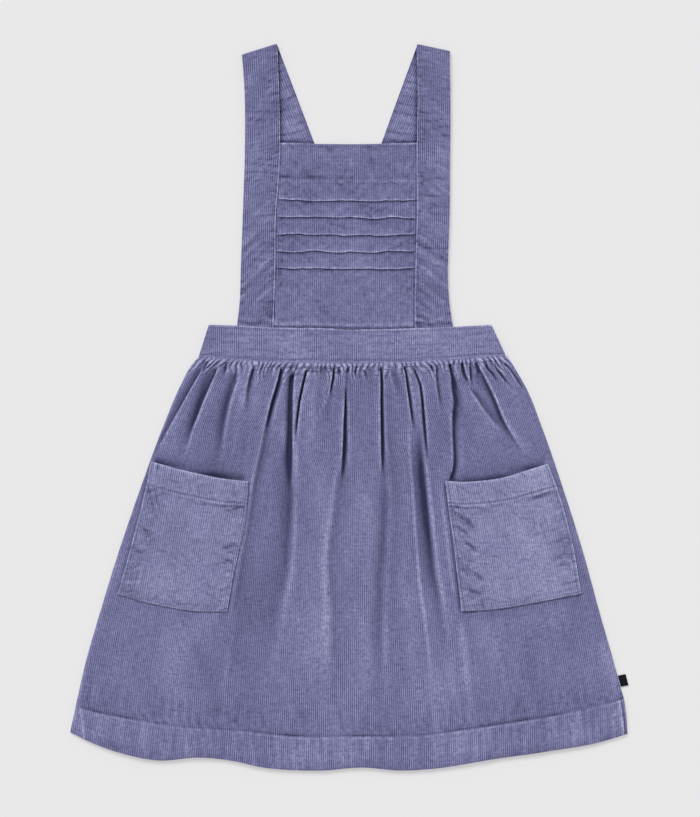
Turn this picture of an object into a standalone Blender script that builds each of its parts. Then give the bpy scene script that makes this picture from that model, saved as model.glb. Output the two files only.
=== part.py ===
"""A child's corduroy pinafore dress, laid flat on its back with the front up.

The frame: +X to the right as the front is seen, +Y from the hem to the shoulders, +Z up from the
surface that the dress lies on. The origin is on that surface, under the middle of the dress.
Blender's unit is the metre. Sizes and tables below are in millimetres, and MM turns them into metres.

Every piece is a closed wall of cloth: an outer sheet of points, an inner sheet, and the rim between
them. From the surface upwards lie the back skirt, back waistband and back strap runs, then the front
skirt, front waistband, bib and front strap runs, and on them the pockets.
"""

import math
from collections import namedtuple

import bmesh
import bpy
import numpy as np

MM = 0.001

# Cloth thickness
SKIRT_CLOTH = 1.5
BIB_CLOTH = 1.7
STRAP_CLOTH = 1.8
BAND_CLOTH = 2.3
POCKET_CLOTH = 1.4
SEAM_GAP = 0.3
SEAM_EASE = 0.2

# Skirt: where its rows lie below the waist seam. The upper rows have twice the columns.
SKIRT_DROP = 356.0
GATHER_ROWS = (0.0, 4.5, 10.0, 17.0, 28.0, 43.0, 62.0, 84.0, 110.0)
LOWER_ROWS = (110.0, 145.0, 180.0, 215.0, 250.0, 285.0, 318.0, 328.0, 356.0)
BACK_ROWS = (0.0, 5.0, 12.0, 22.0, 48.0, 85.0, 130.0, 180.0, 235.0, 290.0, 328.0, 356.0)
HEM_DEPTH = 28.0
HEM_STEP = 0.5
CROWN_REACH = 17.0
EDGE_REACH = 12.0

# Fine puckers just below the waist seam: their height, how fast they grow from the seam and fade away
PUCKERS = 38
PUCKER_HEIGHT = 3.0
PUCKER_GROW = 6.0
PUCKER_FADE = 11.0
BACK_PUCKER_SHARE = 0.5
GROOVE_START = 0.12

# Every fold: how it grows, holds and fades along its line, and the low shoulders beside it
FOLD_GROW = 0.16
FOLD_HOLD = 0.45
FOLD_WIDENING = 0.35
FOLD_LEAN = 0.5
SHOULDER_SHARE = 0.28
SHOULDER_PLACE = 2.1
SHOULDER_SPREAD = 0.6
SEAM_HOLD = 16.0
SEAM_SHARE = 0.25
CROWN_SOFTNESS = 0.6

# Waistband, bib and tucks
BAND_COLUMNS = 40
BAND_ROUNDING = 0.5
BAND_RIPPLE = 0.25
BAND_INSET = (1.8, 2.4)
BIB_COLUMNS = 16
BIB_TOP = 232.4
BIB_TOP_DIP = 1.4
BIB_BOTTOM = 69.0
BIB_INNER_ROWS = 13
BIB_SEAM_LIFT = 0.3
BIB_SEAM_REACH = 30.0
ROWS_ABOVE_TUCKS = (229.5, 211.0, 196.0)
ROWS_BELOW_TUCKS = (109.0, 94.0, 80.0)
FIRST_TUCK = 182.2
TUCK_PITCH = 15.1
TUCKS = 5
TUCK_HEIGHT = 1.3
TUCK_END_SHARE = 0.25

# Straps
STRAP_COLUMNS = 5
FRONT_STATIONS = (0.0, 0.06, 0.13, 0.22, 0.32, 0.44, 0.56, 0.68, 0.78, 0.87, 0.93, 0.97, 1.0)
BACK_STATIONS = (0.0, 0.05, 0.15, 0.27, 0.38, *np.linspace(0.44, 1.0, 16))
BAND_SHARE = 0.13
LIFT_SHARE = 0.7
SHOULDER_LIFT = 3.4
FOLD_STEPS = 6
COVER_MARGIN = 7.5
COVER_SLOPE = 17.0
STRAP_EASE = 0.2

# Pockets
POCKET_COLUMNS = 16
POCKET_ROWS = 11
POCKET_DROP = 117.0
POCKET_HEM = 20.0
POCKET_HEM_STEP = 0.6
POCKET_ROUNDING = 0.35
POCKET_MOUTH = 1.3
POCKET_MOUTH_REACH = 14.0
POCKET_EASE = 0.35

# Side label
LABEL_PLACE = -241.2
LABEL_LENGTH = 7.0
LABEL_HEIGHT = 9.8
LABEL_THICKNESS = 1.0
LABEL_FLOOR = 0.4
LABEL_TILT = math.radians(11.0)

Edges = namedtuple("Edges", "y left right")
Line = namedtuple("Line", "x y")
Crown = namedtuple("Crown", "y height")
Fold = namedtuple("Fold", "x0 y0 x1 y1 x2 y2 width depth lean")
Swing = namedtuple("Swing", "size cycles start")
TuckRow = namedtuple("TuckRow", "above_crest height")
BandRow = namedtuple("BandRow", "share rounding ripple")
StrapCut = namedtuple("StrapCut", "outer inner fold_outer fold_inner end_outer end_inner")
PocketCut = namedtuple("PocketCut", "top bottom left right")

# The puckers' spacing swings by these, in puckers, over this many cycles along the seam
PUCKER_SWINGS = (Swing(size=0.55, cycles=3.1, start=0.2), Swing(size=0.3, cycles=7.7, start=0.6))
PUCKER_SIZES = Swing(size=0.25, cycles=5.3, start=0.1)
BAND_WAVES = (Swing(size=1.0, cycles=19.0, start=0.3), Swing(size=1.0, cycles=2.3, start=0.1))

# The section of one pintuck, and of the waistband from its top edge to its lower one
TUCK_SECTION = (
    TuckRow(above_crest=3.2, height=0.0),
    TuckRow(above_crest=0.9, height=TUCK_HEIGHT),
    TuckRow(above_crest=0.0, height=TUCK_HEIGHT),
    TuckRow(above_crest=-0.5, height=0.0),
)
BAND_SECTION = (
    BandRow(share=0.0, rounding=1.0, ripple=0.0),
    BandRow(share=0.06, rounding=0.0, ripple=0.3),
    BandRow(share=0.5, rounding=0.0, ripple=0.6),
    BandRow(share=0.94, rounding=0.0, ripple=1.0),
    BandRow(share=1.0, rounding=1.0, ripple=1.0),
)

SKIRT_SIDES = (
    Edges(y=46.0, left=-131.0, right=137.8),
    Edges(y=34.0, left=-140.5, right=145.6),
    Edges(y=19.4, left=-148.1, right=154.1),
    Edges(y=-20.2, left=-164.8, right=170.1),
    Edges(y=-73.0, left=-184.2, right=188.3),
    Edges(y=-126.0, left=-202.3, right=205.0),
    Edges(y=-178.6, left=-218.5, right=219.4),
    Edges(y=-231.4, left=-233.5, right=234.4),
    Edges(y=-246.0, left=-236.8, right=238.3),
    Edges(y=-257.0, left=-239.2, right=241.4),
    Edges(y=-271.6, left=-242.3, right=243.4),
    Edges(y=-286.0, left=-245.4, right=244.4),
    Edges(y=-325.0, left=-252.0, right=249.3),
)
WAIST_SEAM = (
    Line(x=-134.0, y=44.6),
    Line(x=-99.7, y=41.7),
    Line(x=-61.0, y=39.8),
    Line(x=-11.7, y=38.7),
    Line(x=27.9, y=39.0),
    Line(x=67.1, y=40.6),
    Line(x=106.2, y=43.1),
    Line(x=139.7, y=45.3),
)
BAND_TOP = (
    Line(x=-123.5, y=72.0),
    Line(x=-97.9, y=71.3),
    Line(x=-67.1, y=69.6),
    Line(x=-29.3, y=69.2),
    Line(x=-2.0, y=68.4),
    Line(x=27.9, y=68.1),
    Line(x=58.7, y=69.1),
    Line(x=82.5, y=69.8),
    Line(x=125.0, y=72.0),
)
HEM_EDGE = (
    Line(x=-245.3, y=-286.0),
    Line(x=-221.0, y=-296.5),
    Line(x=-193.0, y=-305.4),
    Line(x=-164.8, y=-310.6),
    Line(x=-129.6, y=-308.0),
    Line(x=-101.5, y=-310.8),
    Line(x=-73.3, y=-316.8),
    Line(x=-45.1, y=-319.2),
    Line(x=-22.0, y=-319.4),
    Line(x=11.2, y=-316.8),
    Line(x=46.0, y=-319.4),
    Line(x=72.0, y=-318.0),
    Line(x=123.8, y=-309.8),
    Line(x=173.1, y=-302.7),
    Line(x=222.4, y=-293.9),
    Line(x=244.4, y=-287.2),
)
# How far the front skirt stands off the back one, down its length
FRONT_CROWN = (
    Crown(y=46.0, height=1.2),
    Crown(y=30.0, height=4.2),
    Crown(y=0.0, height=5.6),
    Crown(y=-60.0, height=4.8),
    Crown(y=-150.0, height=3.2),
    Crown(y=-250.0, height=2.2),
    Crown(y=-325.0, height=1.8),
)

# Folds of the front skirt from left to right: start, middle and end of the line, width and depth.
# Depth is positive for a valley and negative for a ridge. Lean sharpens the side it points to.
FRONT_FOLDS = (
    Fold(x0=-128.0, y0=45.0, x1=-136.0, y1=27.0, x2=-146.0, y2=5.0, width=3.0, depth=2.2, lean=0.0),
    Fold(x0=-110.0, y0=52.0, x1=-126.0, y1=15.0, x2=-148.0, y2=-45.0, width=4.2, depth=4.1, lean=-0.3),
    Fold(x0=-105.0, y0=50.0, x1=-109.0, y1=33.0, x2=-114.0, y2=10.0, width=2.6, depth=2.7, lean=0.0),
    Fold(x0=-96.0, y0=50.0, x1=-109.0, y1=0.0, x2=-119.0, y2=-85.0, width=5.5, depth=3.8, lean=0.0),
    Fold(x0=-79.0, y0=50.0, x1=-87.0, y1=15.0, x2=-85.0, y2=-45.0, width=4.5, depth=2.2, lean=0.0),
    Fold(x0=-55.0, y0=52.0, x1=-66.0, y1=5.0, x2=-87.0, y2=-85.0, width=3.8, depth=5.9, lean=-0.5),
    Fold(x0=-66.0, y0=40.0, x1=-76.0, y1=-20.0, x2=-92.0, y2=-110.0, width=7.0, depth=-3.0, lean=0.4),
    Fold(x0=-76.8, y0=-10.0, x1=-98.0, y1=-135.0, x2=-119.0, y2=-265.0, width=10.0, depth=-2.4, lean=0.0),
    Fold(x0=-66.0, y0=-20.0, x1=-80.0, y1=-100.0, x2=-93.0, y2=-180.0, width=8.0, depth=1.8, lean=0.0),
    Fold(x0=-45.5, y0=52.0, x1=-51.5, y1=0.0, x2=-55.0, y2=-95.0, width=4.6, depth=5.9, lean=0.2),
    Fold(x0=-33.5, y0=52.0, x1=-42.5, y1=5.0, x2=-48.0, y2=-30.0, width=3.2, depth=4.6, lean=0.0),
    Fold(x0=-54.0, y0=-30.0, x1=-58.0, y1=-125.0, x2=-74.0, y2=-235.0, width=8.0, depth=2.4, lean=0.3),
    Fold(x0=-46.0, y0=-10.0, x1=-50.0, y1=-120.0, x2=-73.0, y2=-255.0, width=8.0, depth=-3.0, lean=-0.3),
    Fold(x0=-11.5, y0=52.0, x1=-15.4, y1=18.0, x2=-13.0, y2=-15.0, width=2.8, depth=3.0, lean=0.0),
    Fold(x0=-15.0, y0=28.0, x1=-22.0, y1=2.0, x2=-33.0, y2=-35.0, width=4.0, depth=-2.4, lean=0.5),
    Fold(x0=3.0, y0=55.0, x1=-3.4, y1=-5.0, x2=-9.0, y2=-95.0, width=3.8, depth=6.8, lean=0.2),
    Fold(x0=-8.0, y0=-5.0, x1=-17.5, y1=-135.0, x2=-17.0, y2=-290.0, width=9.0, depth=-3.0, lean=0.0),
    Fold(x0=-4.5, y0=-40.0, x1=-12.0, y1=-100.0, x2=-14.0, y2=-170.0, width=7.0, depth=1.9, lean=0.0),
    Fold(x0=20.0, y0=55.0, x1=28.6, y1=0.0, x2=31.5, y2=-100.0, width=3.8, depth=6.8, lean=-0.2),
    Fold(x0=15.0, y0=30.0, x1=14.0, y1=-40.0, x2=8.0, y2=-140.0, width=8.0, depth=-2.7, lean=0.0),
    Fold(x0=31.0, y0=-40.0, x1=34.0, y1=-120.0, x2=30.0, y2=-215.0, width=7.0, depth=2.0, lean=0.0),
    Fold(x0=35.5, y0=50.0, x1=41.0, y1=18.0, x2=46.0, y2=-12.0, width=3.0, depth=2.4, lean=0.0),
    Fold(x0=45.0, y0=52.0, x1=53.0, y1=8.0, x2=62.0, y2=-75.0, width=3.4, depth=4.9, lean=0.0),
    Fold(x0=54.0, y0=52.0, x1=65.0, y1=0.0, x2=70.0, y2=-90.0, width=3.6, depth=5.1, lean=0.2),
    Fold(x0=64.0, y0=-20.0, x1=69.0, y1=-125.0, x2=73.0, y2=-250.0, width=9.0, depth=3.0, lean=0.0),
    Fold(x0=70.0, y0=-10.0, x1=78.0, y1=-105.0, x2=100.0, y2=-190.0, width=8.0, depth=-3.2, lean=0.3),
    Fold(x0=76.0, y0=48.0, x1=80.0, y1=18.0, x2=84.0, y2=-10.0, width=3.0, depth=2.2, lean=0.0),
    Fold(x0=87.5, y0=52.0, x1=92.8, y1=0.0, x2=91.0, y2=-85.0, width=4.8, depth=5.7, lean=-0.6),
    Fold(x0=86.0, y0=30.0, x1=86.5, y1=-15.0, x2=83.0, y2=-75.0, width=4.5, depth=-3.0, lean=0.4),
    Fold(x0=97.0, y0=46.0, x1=108.0, y1=17.0, x2=134.0, y2=-25.0, width=3.4, depth=3.0, lean=0.0),
    Fold(x0=105.0, y0=48.0, x1=108.0, y1=30.0, x2=113.0, y2=5.0, width=2.8, depth=2.4, lean=0.0),
    Fold(x0=107.0, y0=50.0, x1=124.0, y1=17.0, x2=158.0, y2=-50.0, width=4.2, depth=4.3, lean=0.3),
    Fold(x0=114.0, y0=48.0, x1=121.0, y1=32.0, x2=133.0, y2=12.0, width=3.0, depth=2.4, lean=0.0),
    Fold(x0=126.0, y0=46.0, x1=133.0, y1=31.0, x2=146.0, y2=10.0, width=3.2, depth=2.4, lean=0.0),
    Fold(x0=-160.0, y0=-190.0, x1=-166.0, y1=-245.0, x2=-168.0, y2=-330.0, width=16.0, depth=-1.9, lean=0.0),
    Fold(x0=-125.0, y0=-195.0, x1=-128.0, y1=-250.0, x2=-129.0, y2=-330.0, width=15.0, depth=1.8, lean=0.0),
    Fold(x0=50.0, y0=-120.0, x1=47.0, y1=-220.0, x2=46.0, y2=-345.0, width=14.0, depth=-2.2, lean=0.0),
    Fold(x0=12.0, y0=-180.0, x1=11.0, y1=-250.0, x2=11.0, y2=-345.0, width=13.0, depth=1.6, lean=0.0),
    Fold(x0=112.0, y0=-190.0, x1=118.0, y1=-250.0, x2=122.0, y2=-335.0, width=15.0, depth=1.6, lean=0.0),
    Fold(x0=160.0, y0=-180.0, x1=170.0, y1=-245.0, x2=178.0, y2=-330.0, width=17.0, depth=-1.9, lean=0.0),
)
# Grooves that the back skirt's gathers leave over the surface
BACK_FOLDS = (
    Fold(x0=-112.0, y0=52.0, x1=-126.0, y1=0.0, x2=-142.0, y2=-60.0, width=4.5, depth=-1.3, lean=0.0),
    Fold(x0=-84.0, y0=52.0, x1=-96.0, y1=-5.0, x2=-108.0, y2=-85.0, width=5.0, depth=-1.5, lean=0.0),
    Fold(x0=-57.0, y0=52.0, x1=-63.0, y1=-5.0, x2=-72.0, y2=-70.0, width=4.5, depth=-1.4, lean=0.0),
    Fold(x0=-28.0, y0=52.0, x1=-33.0, y1=-10.0, x2=-38.0, y2=-100.0, width=5.0, depth=-1.6, lean=0.0),
    Fold(x0=-4.0, y0=52.0, x1=-5.0, y1=-5.0, x2=-9.0, y2=-75.0, width=4.5, depth=-1.4, lean=0.0),
    Fold(x0=24.0, y0=52.0, x1=27.0, y1=-10.0, x2=33.0, y2=-95.0, width=5.0, depth=-1.6, lean=0.0),
    Fold(x0=50.0, y0=52.0, x1=58.0, y1=-5.0, x2=64.0, y2=-70.0, width=4.5, depth=-1.4, lean=0.0),
    Fold(x0=82.0, y0=52.0, x1=92.0, y1=-5.0, x2=106.0, y2=-85.0, width=5.0, depth=-1.5, lean=0.0),
    Fold(x0=112.0, y0=52.0, x1=126.0, y1=0.0, x2=144.0, y2=-60.0, width=4.5, depth=-1.3, lean=0.0),
)

# Strap edges on the bib's side, the shoulder fold's two ends, and the ends at the back waistband
LEFT_STRAP = StrapCut(
    outer=(
        Line(x=-98.6, y=72.2),
        Line(x=-96.6, y=89.8),
        Line(x=-95.3, y=125.0),
        Line(x=-93.5, y=173.4),
        Line(x=-91.8, y=227.9),
        Line(x=-92.2, y=279.0),
        Line(x=-94.4, y=310.2),
    ),
    inner=(
        Line(x=-67.2, y=70.4),
        Line(x=-65.6, y=123.2),
        Line(x=-65.2, y=165.4),
        Line(x=-62.6, y=198.9),
        Line(x=-61.0, y=233.2),
        Line(x=-61.9, y=278.1),
        Line(x=-63.4, y=320.5),
    ),
    fold_outer=Line(x=-94.2, y=307.4),
    fold_inner=Line(x=-63.0, y=317.2),
    end_outer=Line(x=1.8, y=69.6),
    end_inner=Line(x=31.0, y=69.0),
)
RIGHT_STRAP = StrapCut(
    outer=(
        Line(x=91.0, y=71.4),
        Line(x=88.8, y=85.4),
        Line(x=88.4, y=180.0),
        Line(x=88.9, y=270.2),
        Line(x=88.3, y=313.3),
    ),
    inner=(
        Line(x=58.3, y=70.0),
        Line(x=58.8, y=131.1),
        Line(x=60.0, y=165.4),
        Line(x=60.2, y=201.5),
        Line(x=59.6, y=233.2),
        Line(x=60.2, y=278.1),
        Line(x=59.0, y=320.5),
    ),
    fold_outer=Line(x=88.3, y=310.6),
    fold_inner=Line(x=59.2, y=316.8),
    end_outer=Line(x=-1.8, y=69.0),
    end_inner=Line(x=-31.0, y=69.8),
)

# Pocket edges: the mouth and the lower edge from left to right, the sides from the mouth down
LEFT_POCKET = PocketCut(
    top=(
        Line(x=-174.2, y=-47.7),
        Line(x=-151.0, y=-54.0),
        Line(x=-132.9, y=-58.3),
        Line(x=-112.6, y=-62.4),
        Line(x=-88.4, y=-65.2),
    ),
    bottom=(
        Line(x=-203.5, y=-164.4),
        Line(x=-178.5, y=-171.6),
        Line(x=-153.0, y=-176.8),
        Line(x=-130.0, y=-179.6),
        Line(x=-107.4, y=-179.6),
    ),
    left=(
        Line(x=-174.2, y=-47.7),
        Line(x=-179.3, y=-73.5),
        Line(x=-190.3, y=-117.0),
        Line(x=-203.5, y=-164.4),
    ),
    right=(
        Line(x=-88.4, y=-65.2),
        Line(x=-90.4, y=-95.0),
        Line(x=-99.5, y=-138.0),
        Line(x=-107.4, y=-179.6),
    ),
)
RIGHT_POCKET = PocketCut(
    top=(
        Line(x=84.0, y=-64.6),
        Line(x=99.0, y=-65.6),
        Line(x=115.9, y=-64.6),
        Line(x=136.0, y=-61.6),
        Line(x=156.0, y=-55.4),
        Line(x=174.4, y=-49.7),
    ),
    bottom=(
        Line(x=98.6, y=-179.3),
        Line(x=125.9, y=-177.8),
        Line(x=166.3, y=-171.2),
        Line(x=203.7, y=-163.8),
    ),
    left=(
        Line(x=84.0, y=-64.6),
        Line(x=87.4, y=-90.0),
        Line(x=92.0, y=-125.0),
        Line(x=98.6, y=-179.3),
    ),
    right=(
        Line(x=174.4, y=-49.7),
        Line(x=182.5, y=-71.3),
        Line(x=194.7, y=-113.5),
        Line(x=203.7, y=-163.8),
    ),
)


def hermite(keys, values, at):
    """The smooth curve through the keys, which rise, read at the given places."""
    keys, values = np.asarray(keys, float), np.asarray(values, float)
    slopes = np.gradient(values, keys)
    at = np.clip(at, keys[0], keys[-1])
    index = np.clip(np.searchsorted(keys, at) - 1, 0, len(keys) - 2)
    step = keys[index + 1] - keys[index]
    t = (at - keys[index]) / step
    rise = values[index + 1] - values[index]
    start = slopes[index] * step
    end = slopes[index + 1] * step
    return values[index] + t * (start + t * (3 * rise - 2 * start - end + t * (start + end - 2 * rise)))


def smoothstep(t):
    """0 up to 0, 1 from 1 on, and a smooth step between."""
    t = np.clip(t, 0.0, 1.0)
    return t * t * (3.0 - 2.0 * t)


def line_y(line, x):
    """The y of a line that runs from left to right, at the given x."""
    return hermite([point.x for point in line], [point.y for point in line], x)


def line_x(line, y):
    """The x of a line that runs up or down, at the given y."""
    rows = sorted(line, key=lambda point: point.y)
    return hermite([point.y for point in rows], [point.x for point in rows], y)


def along(line, u):
    """The x that lies this share of the way from a line's first point to its last."""
    return line[0].x + u * (line[-1].x - line[0].x)


def swing(row, u):
    """One wave along a seam, for u from 0 to 1."""
    return row.size * np.sin(2 * math.pi * (row.cycles * u + row.start))


def skirt_side(y, side):
    """The x of the skirt's left or right edge, at the given y."""
    rows = sorted(SKIRT_SIDES, key=lambda edges: edges.y)
    return hermite([edges.y for edges in rows], [getattr(edges, side) for edges in rows], y)


def skirt_place(u, drop):
    """Points of the skirt: u runs from its left edge to its right one, drop down from the waist seam."""
    v = drop / SKIRT_DROP
    seam_y = line_y(WAIST_SEAM, along(WAIST_SEAM, u))
    hem_y = line_y(HEM_EDGE, along(HEM_EDGE, u))
    y = (1 - v) * seam_y + v * hem_y
    left, right = skirt_side(y, "left"), skirt_side(y, "right")
    return left + u * (right - left), y


def pucker_phase(u):
    """How many puckers lie left of u: their spacing swings a little along the seam."""
    return PUCKERS * u + sum(swing(row, u) for row in PUCKER_SWINGS)


def pucker_columns(per_pucker):
    """An odd number of columns, which fall on each pucker's ridge, valley and sides."""
    fine = np.linspace(0.0, 1.0, 4001)
    phase = pucker_phase(fine)
    first, last = math.ceil(phase[0] * per_pucker) + 1, phase[-1] * per_pucker - 0.5
    inner = np.interp(np.arange(first, last) / per_pucker, phase, fine)
    return np.concatenate([[0.0], inner[: len(inner) - 1 + len(inner) % 2], [1.0]])


def pucker_height(u, y):
    """Height of the fine gathers that stand just below the waist seam and fade down the skirt."""
    below = np.maximum(line_y(WAIST_SEAM, along(WAIST_SEAM, u)) - y, 0.0)
    size = 1.0 - PUCKER_SIZES.size + swing(PUCKER_SIZES, u)
    grow = 0.3 + 0.7 * smoothstep(below / PUCKER_GROW)
    wave = 0.5 + 0.5 * np.cos(2 * math.pi * pucker_phase(u))
    return PUCKER_HEIGHT * size * grow * wave * np.exp(-((below / PUCKER_FADE) ** 1.4))


def fold_height(x, y, fold):
    """Height that one fold adds: it follows the curve through its three points and fades at both ends."""
    t = (fold.y0 - y) / (fold.y0 - fold.y2)
    middle = (fold.y0 - fold.y1) / (fold.y0 - fold.y2)
    bow = (fold.x1 - fold.x0 - middle * (fold.x2 - fold.x0)) / (middle * (middle - 1.0))
    side = x - (fold.x0 + t * (fold.x2 - fold.x0) + bow * t * (t - 1.0))
    leaning = 1.0 - FOLD_LEAN * fold.lean * np.tanh(side / fold.width)
    s = side / (fold.width * (1.0 + FOLD_WIDENING * t) * leaning)
    strength = smoothstep(t / FOLD_GROW) * (1.0 - smoothstep((t - FOLD_HOLD) / (1.0 - FOLD_HOLD)))
    shoulders = SHOULDER_SHARE * np.exp(-((np.abs(s) - SHOULDER_PLACE) ** 2) / SHOULDER_SPREAD)
    return -fold.depth * strength * (np.exp(-s * s) - shoulders)


def side_distance(x, y):
    """How far a point of the skirt lies in from its nearer side edge."""
    return np.maximum(np.minimum(x - skirt_side(y, "left"), skirt_side(y, "right") - x), 0.0)


def back_skirt_floor(x, y, u):
    """Underside of the back skirt: on the surface, but for the grooves of its gathers."""
    height = BACK_PUCKER_SHARE * pucker_height(u, y) + sum(fold_height(x, y, fold) for fold in BACK_FOLDS)
    inside = smoothstep(side_distance(x, y) / CROWN_REACH)
    return np.maximum(height - GROOVE_START, 0.0) * inside


def front_skirt_top(x, y, u):
    """Outer surface of the front skirt, over the back one."""
    under = back_skirt_floor(x, y, u) + SKIRT_CLOTH + SEAM_GAP
    edge = side_distance(x, y)
    crown = np.interp(-y, [-row.y for row in FRONT_CROWN], [row.height for row in FRONT_CROWN])
    crown = crown * (1.0 - np.exp(-edge / CROWN_REACH))
    relief = sum(fold_height(x, y, fold) for fold in FRONT_FOLDS) * smoothstep(edge / EDGE_REACH)
    seam_y = line_y(WAIST_SEAM, along(WAIST_SEAM, u))
    held = SEAM_SHARE + (1.0 - SEAM_SHARE) * smoothstep((seam_y - y) / SEAM_HOLD)
    rise = crown + held * relief + pucker_height(u, y)
    rise = 0.5 * (rise + np.sqrt(rise * rise + CROWN_SOFTNESS))
    hem = HEM_STEP * smoothstep((line_y(HEM_EDGE, x) + HEM_DEPTH - y) / 3.0 + 1.0)
    return under + SKIRT_CLOTH + rise + hem


def steepness(surface, x, y, u):
    """How much taller a slanted wall is than it is thick, from the surface's slope across."""
    step = 0.4
    slope = (surface(x + step, y, u) - surface(x - step, y, u)) / (2 * step)
    return np.sqrt(1.0 + slope**2)


def stitch(bm, first, second):
    """Faces between two rows of vertices. Where their counts differ, triangles fan from one to the other."""
    i = j = 0
    while i < len(first) - 1 or j < len(second) - 1:
        next_i = (i + 1) / (len(first) - 1) if i < len(first) - 1 else 2.0
        next_j = (j + 1) / (len(second) - 1) if j < len(second) - 1 else 2.0
        if abs(next_i - next_j) < 1e-6:
            bm.faces.new((first[i], first[i + 1], second[j + 1], second[j]))
            i, j = i + 1, j + 1
        elif next_i < next_j:
            bm.faces.new((first[i], first[i + 1], second[j]))
            i += 1
        else:
            bm.faces.new((first[i], second[j + 1], second[j]))
            j += 1


def cloth_material(name, colour, roughness):
    """A plain cloth finish."""
    material = bpy.data.materials.new(name)
    material.use_nodes = True
    shader = material.node_tree.nodes["Principled BSDF"]
    shader.inputs["Base Color"].default_value = (*colour, 1.0)
    shader.inputs["Roughness"].default_value = roughness
    shader.inputs["Metallic"].default_value = 0.0
    return material


def cloth_wall(name, outer, inner, material):
    """A closed wall between two sheets. Each sheet is a list of rows, and a row an array of points in mm."""
    bm = bmesh.new()
    sheets = [[[bm.verts.new(point * MM) for point in row] for row in sheet] for sheet in (outer, inner)]
    for sheet in sheets:
        for above, below in zip(sheet, sheet[1:]):
            stitch(bm, above, below)
    top, bottom = sheets
    for end in (0, -1):
        stitch(bm, top[end], bottom[end])
        stitch(bm, [row[end] for row in top], [row[end] for row in bottom])
    bmesh.ops.recalc_face_normals(bm, faces=bm.faces)
    mesh = bpy.data.meshes.new(name)
    bm.to_mesh(mesh)
    bm.free()
    mesh.materials.append(material)
    mesh.shade_smooth()
    mesh.set_sharp_from_angle(angle=math.radians(50.0))
    piece = bpy.data.objects.new(name, mesh)
    bpy.context.scene.collection.objects.link(piece)
    return piece


def row_of(x, y, z):
    """One row of points, from its coordinates."""
    return np.stack(np.broadcast_arrays(x, y, z), axis=1)


def skirt_rows(columns, drops, height):
    """Rows of skirt points at the given drops, at the height that the function gives."""
    rows = []
    for drop in drops:
        x, y = skirt_place(columns, np.full_like(columns, drop))
        rows.append(row_of(x, y, height(x, y, columns)))
    return rows


def front_skirt(material):
    """The gathered front panel: fine columns in the gathers, and every second one below."""
    fine = pucker_columns(4)
    coarse = fine[::2]

    def underside(x, y, u):
        top = front_skirt_top(x, y, u)
        lowest = back_skirt_floor(x, y, u) + SKIRT_CLOTH * steepness(back_skirt_floor, x, y, u) + SEAM_GAP
        return np.maximum(top - SKIRT_CLOTH * steepness(front_skirt_top, x, y, u), lowest)

    sheets = []
    for height in (front_skirt_top, underside):
        sheets.append(skirt_rows(fine, GATHER_ROWS[:-1], height) + skirt_rows(coarse, LOWER_ROWS, height))
    return cloth_wall("skirt_front", *sheets, material)


def back_skirt(material):
    """The gathered back panel, which lies on the surface."""
    columns = pucker_columns(2)

    def topside(x, y, u):
        return back_skirt_floor(x, y, u) + SKIRT_CLOTH * steepness(back_skirt_floor, x, y, u)

    top = skirt_rows(columns, BACK_ROWS, topside)
    floor = skirt_rows(columns, BACK_ROWS, back_skirt_floor)
    return cloth_wall("skirt_back", top, floor, material)


def waistband(name, floor, ripple, material):
    """A folded band: rounded along its long edges, and rippled over the gathers where it shows."""
    u = np.linspace(0.0, 1.0, BAND_COLUMNS + 1)
    top_x = along(BAND_TOP, u)
    low_x = along(WAIST_SEAM, u) + BAND_INSET[0] - u * sum(BAND_INSET)
    top_y = line_y(BAND_TOP, top_x)
    low_y = line_y(WAIST_SEAM, low_x) + SEAM_GAP
    wave = ripple * swing(BAND_WAVES[0], u) * swing(BAND_WAVES[1], u)

    def band_row(share, height):
        return row_of(top_x + share * (low_x - top_x), top_y + share * (low_y - top_y), height)

    outer = []
    for row in BAND_SECTION:
        height = floor + BAND_CLOTH - BAND_ROUNDING * row.rounding + wave * row.ripple
        outer.append(band_row(row.share, height))
    inner = [band_row(share, floor) for share in (0.0, 1.0)]
    return cloth_wall(name, outer, inner, material)


def back_run_edges(cut, y):
    """The x of both edges of a strap's back run: straight lines from the fold to the waistband."""

    def edge(start, end):
        return start.x + (y - start.y) / (end.y - start.y) * (end.x - start.x)

    return edge(cut.fold_outer, cut.end_outer), edge(cut.fold_inner, cut.end_inner)


def strap_cover(cut, x, y):
    """1 over a strap's back run and a little beyond, falling smoothly to 0 outside it."""
    first, second = back_run_edges(cut, y)
    low, high = np.minimum(first, second), np.maximum(first, second)
    outside = np.maximum(np.maximum(low - x, x - high), 0.0)
    return 1.0 - smoothstep((outside - COVER_MARGIN) / COVER_SLOPE)


def upper_strap_floor(x, y):
    """Underside of the left strap's back run, which crosses over the right strap's."""
    return (STRAP_CLOTH + SEAM_GAP) * strap_cover(RIGHT_STRAP, x, y)


def bib_floor(x, y):
    """Underside of the bib: it lies on the back strap runs, and is lifted at their crossing and at the band."""
    crossing = strap_cover(LEFT_STRAP, x, y) * strap_cover(RIGHT_STRAP, x, y)
    on_straps = STRAP_CLOTH + SEAM_GAP + SEAM_EASE + (STRAP_CLOTH + SEAM_GAP) * crossing
    near_band = 1.0 - smoothstep((y - line_y(BAND_TOP, x)) / BIB_SEAM_REACH)
    return np.maximum(on_straps, (BAND_CLOTH + SEAM_GAP + BIB_SEAM_LIFT) * near_band)


def bib_levels():
    """(y, height) of each outer row of the bib from its top edge down, its pintucks among them."""
    rows = [(BIB_TOP, 0.0)] + [(y, 0.0) for y in ROWS_ABOVE_TUCKS]
    for index in range(TUCKS):
        crest = FIRST_TUCK - index * TUCK_PITCH
        rows += [(crest + row.above_crest, row.height) for row in TUCK_SECTION]
    return rows + [(y, 0.0) for y in ROWS_BELOW_TUCKS] + [(BIB_BOTTOM, 0.0)]


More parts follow.
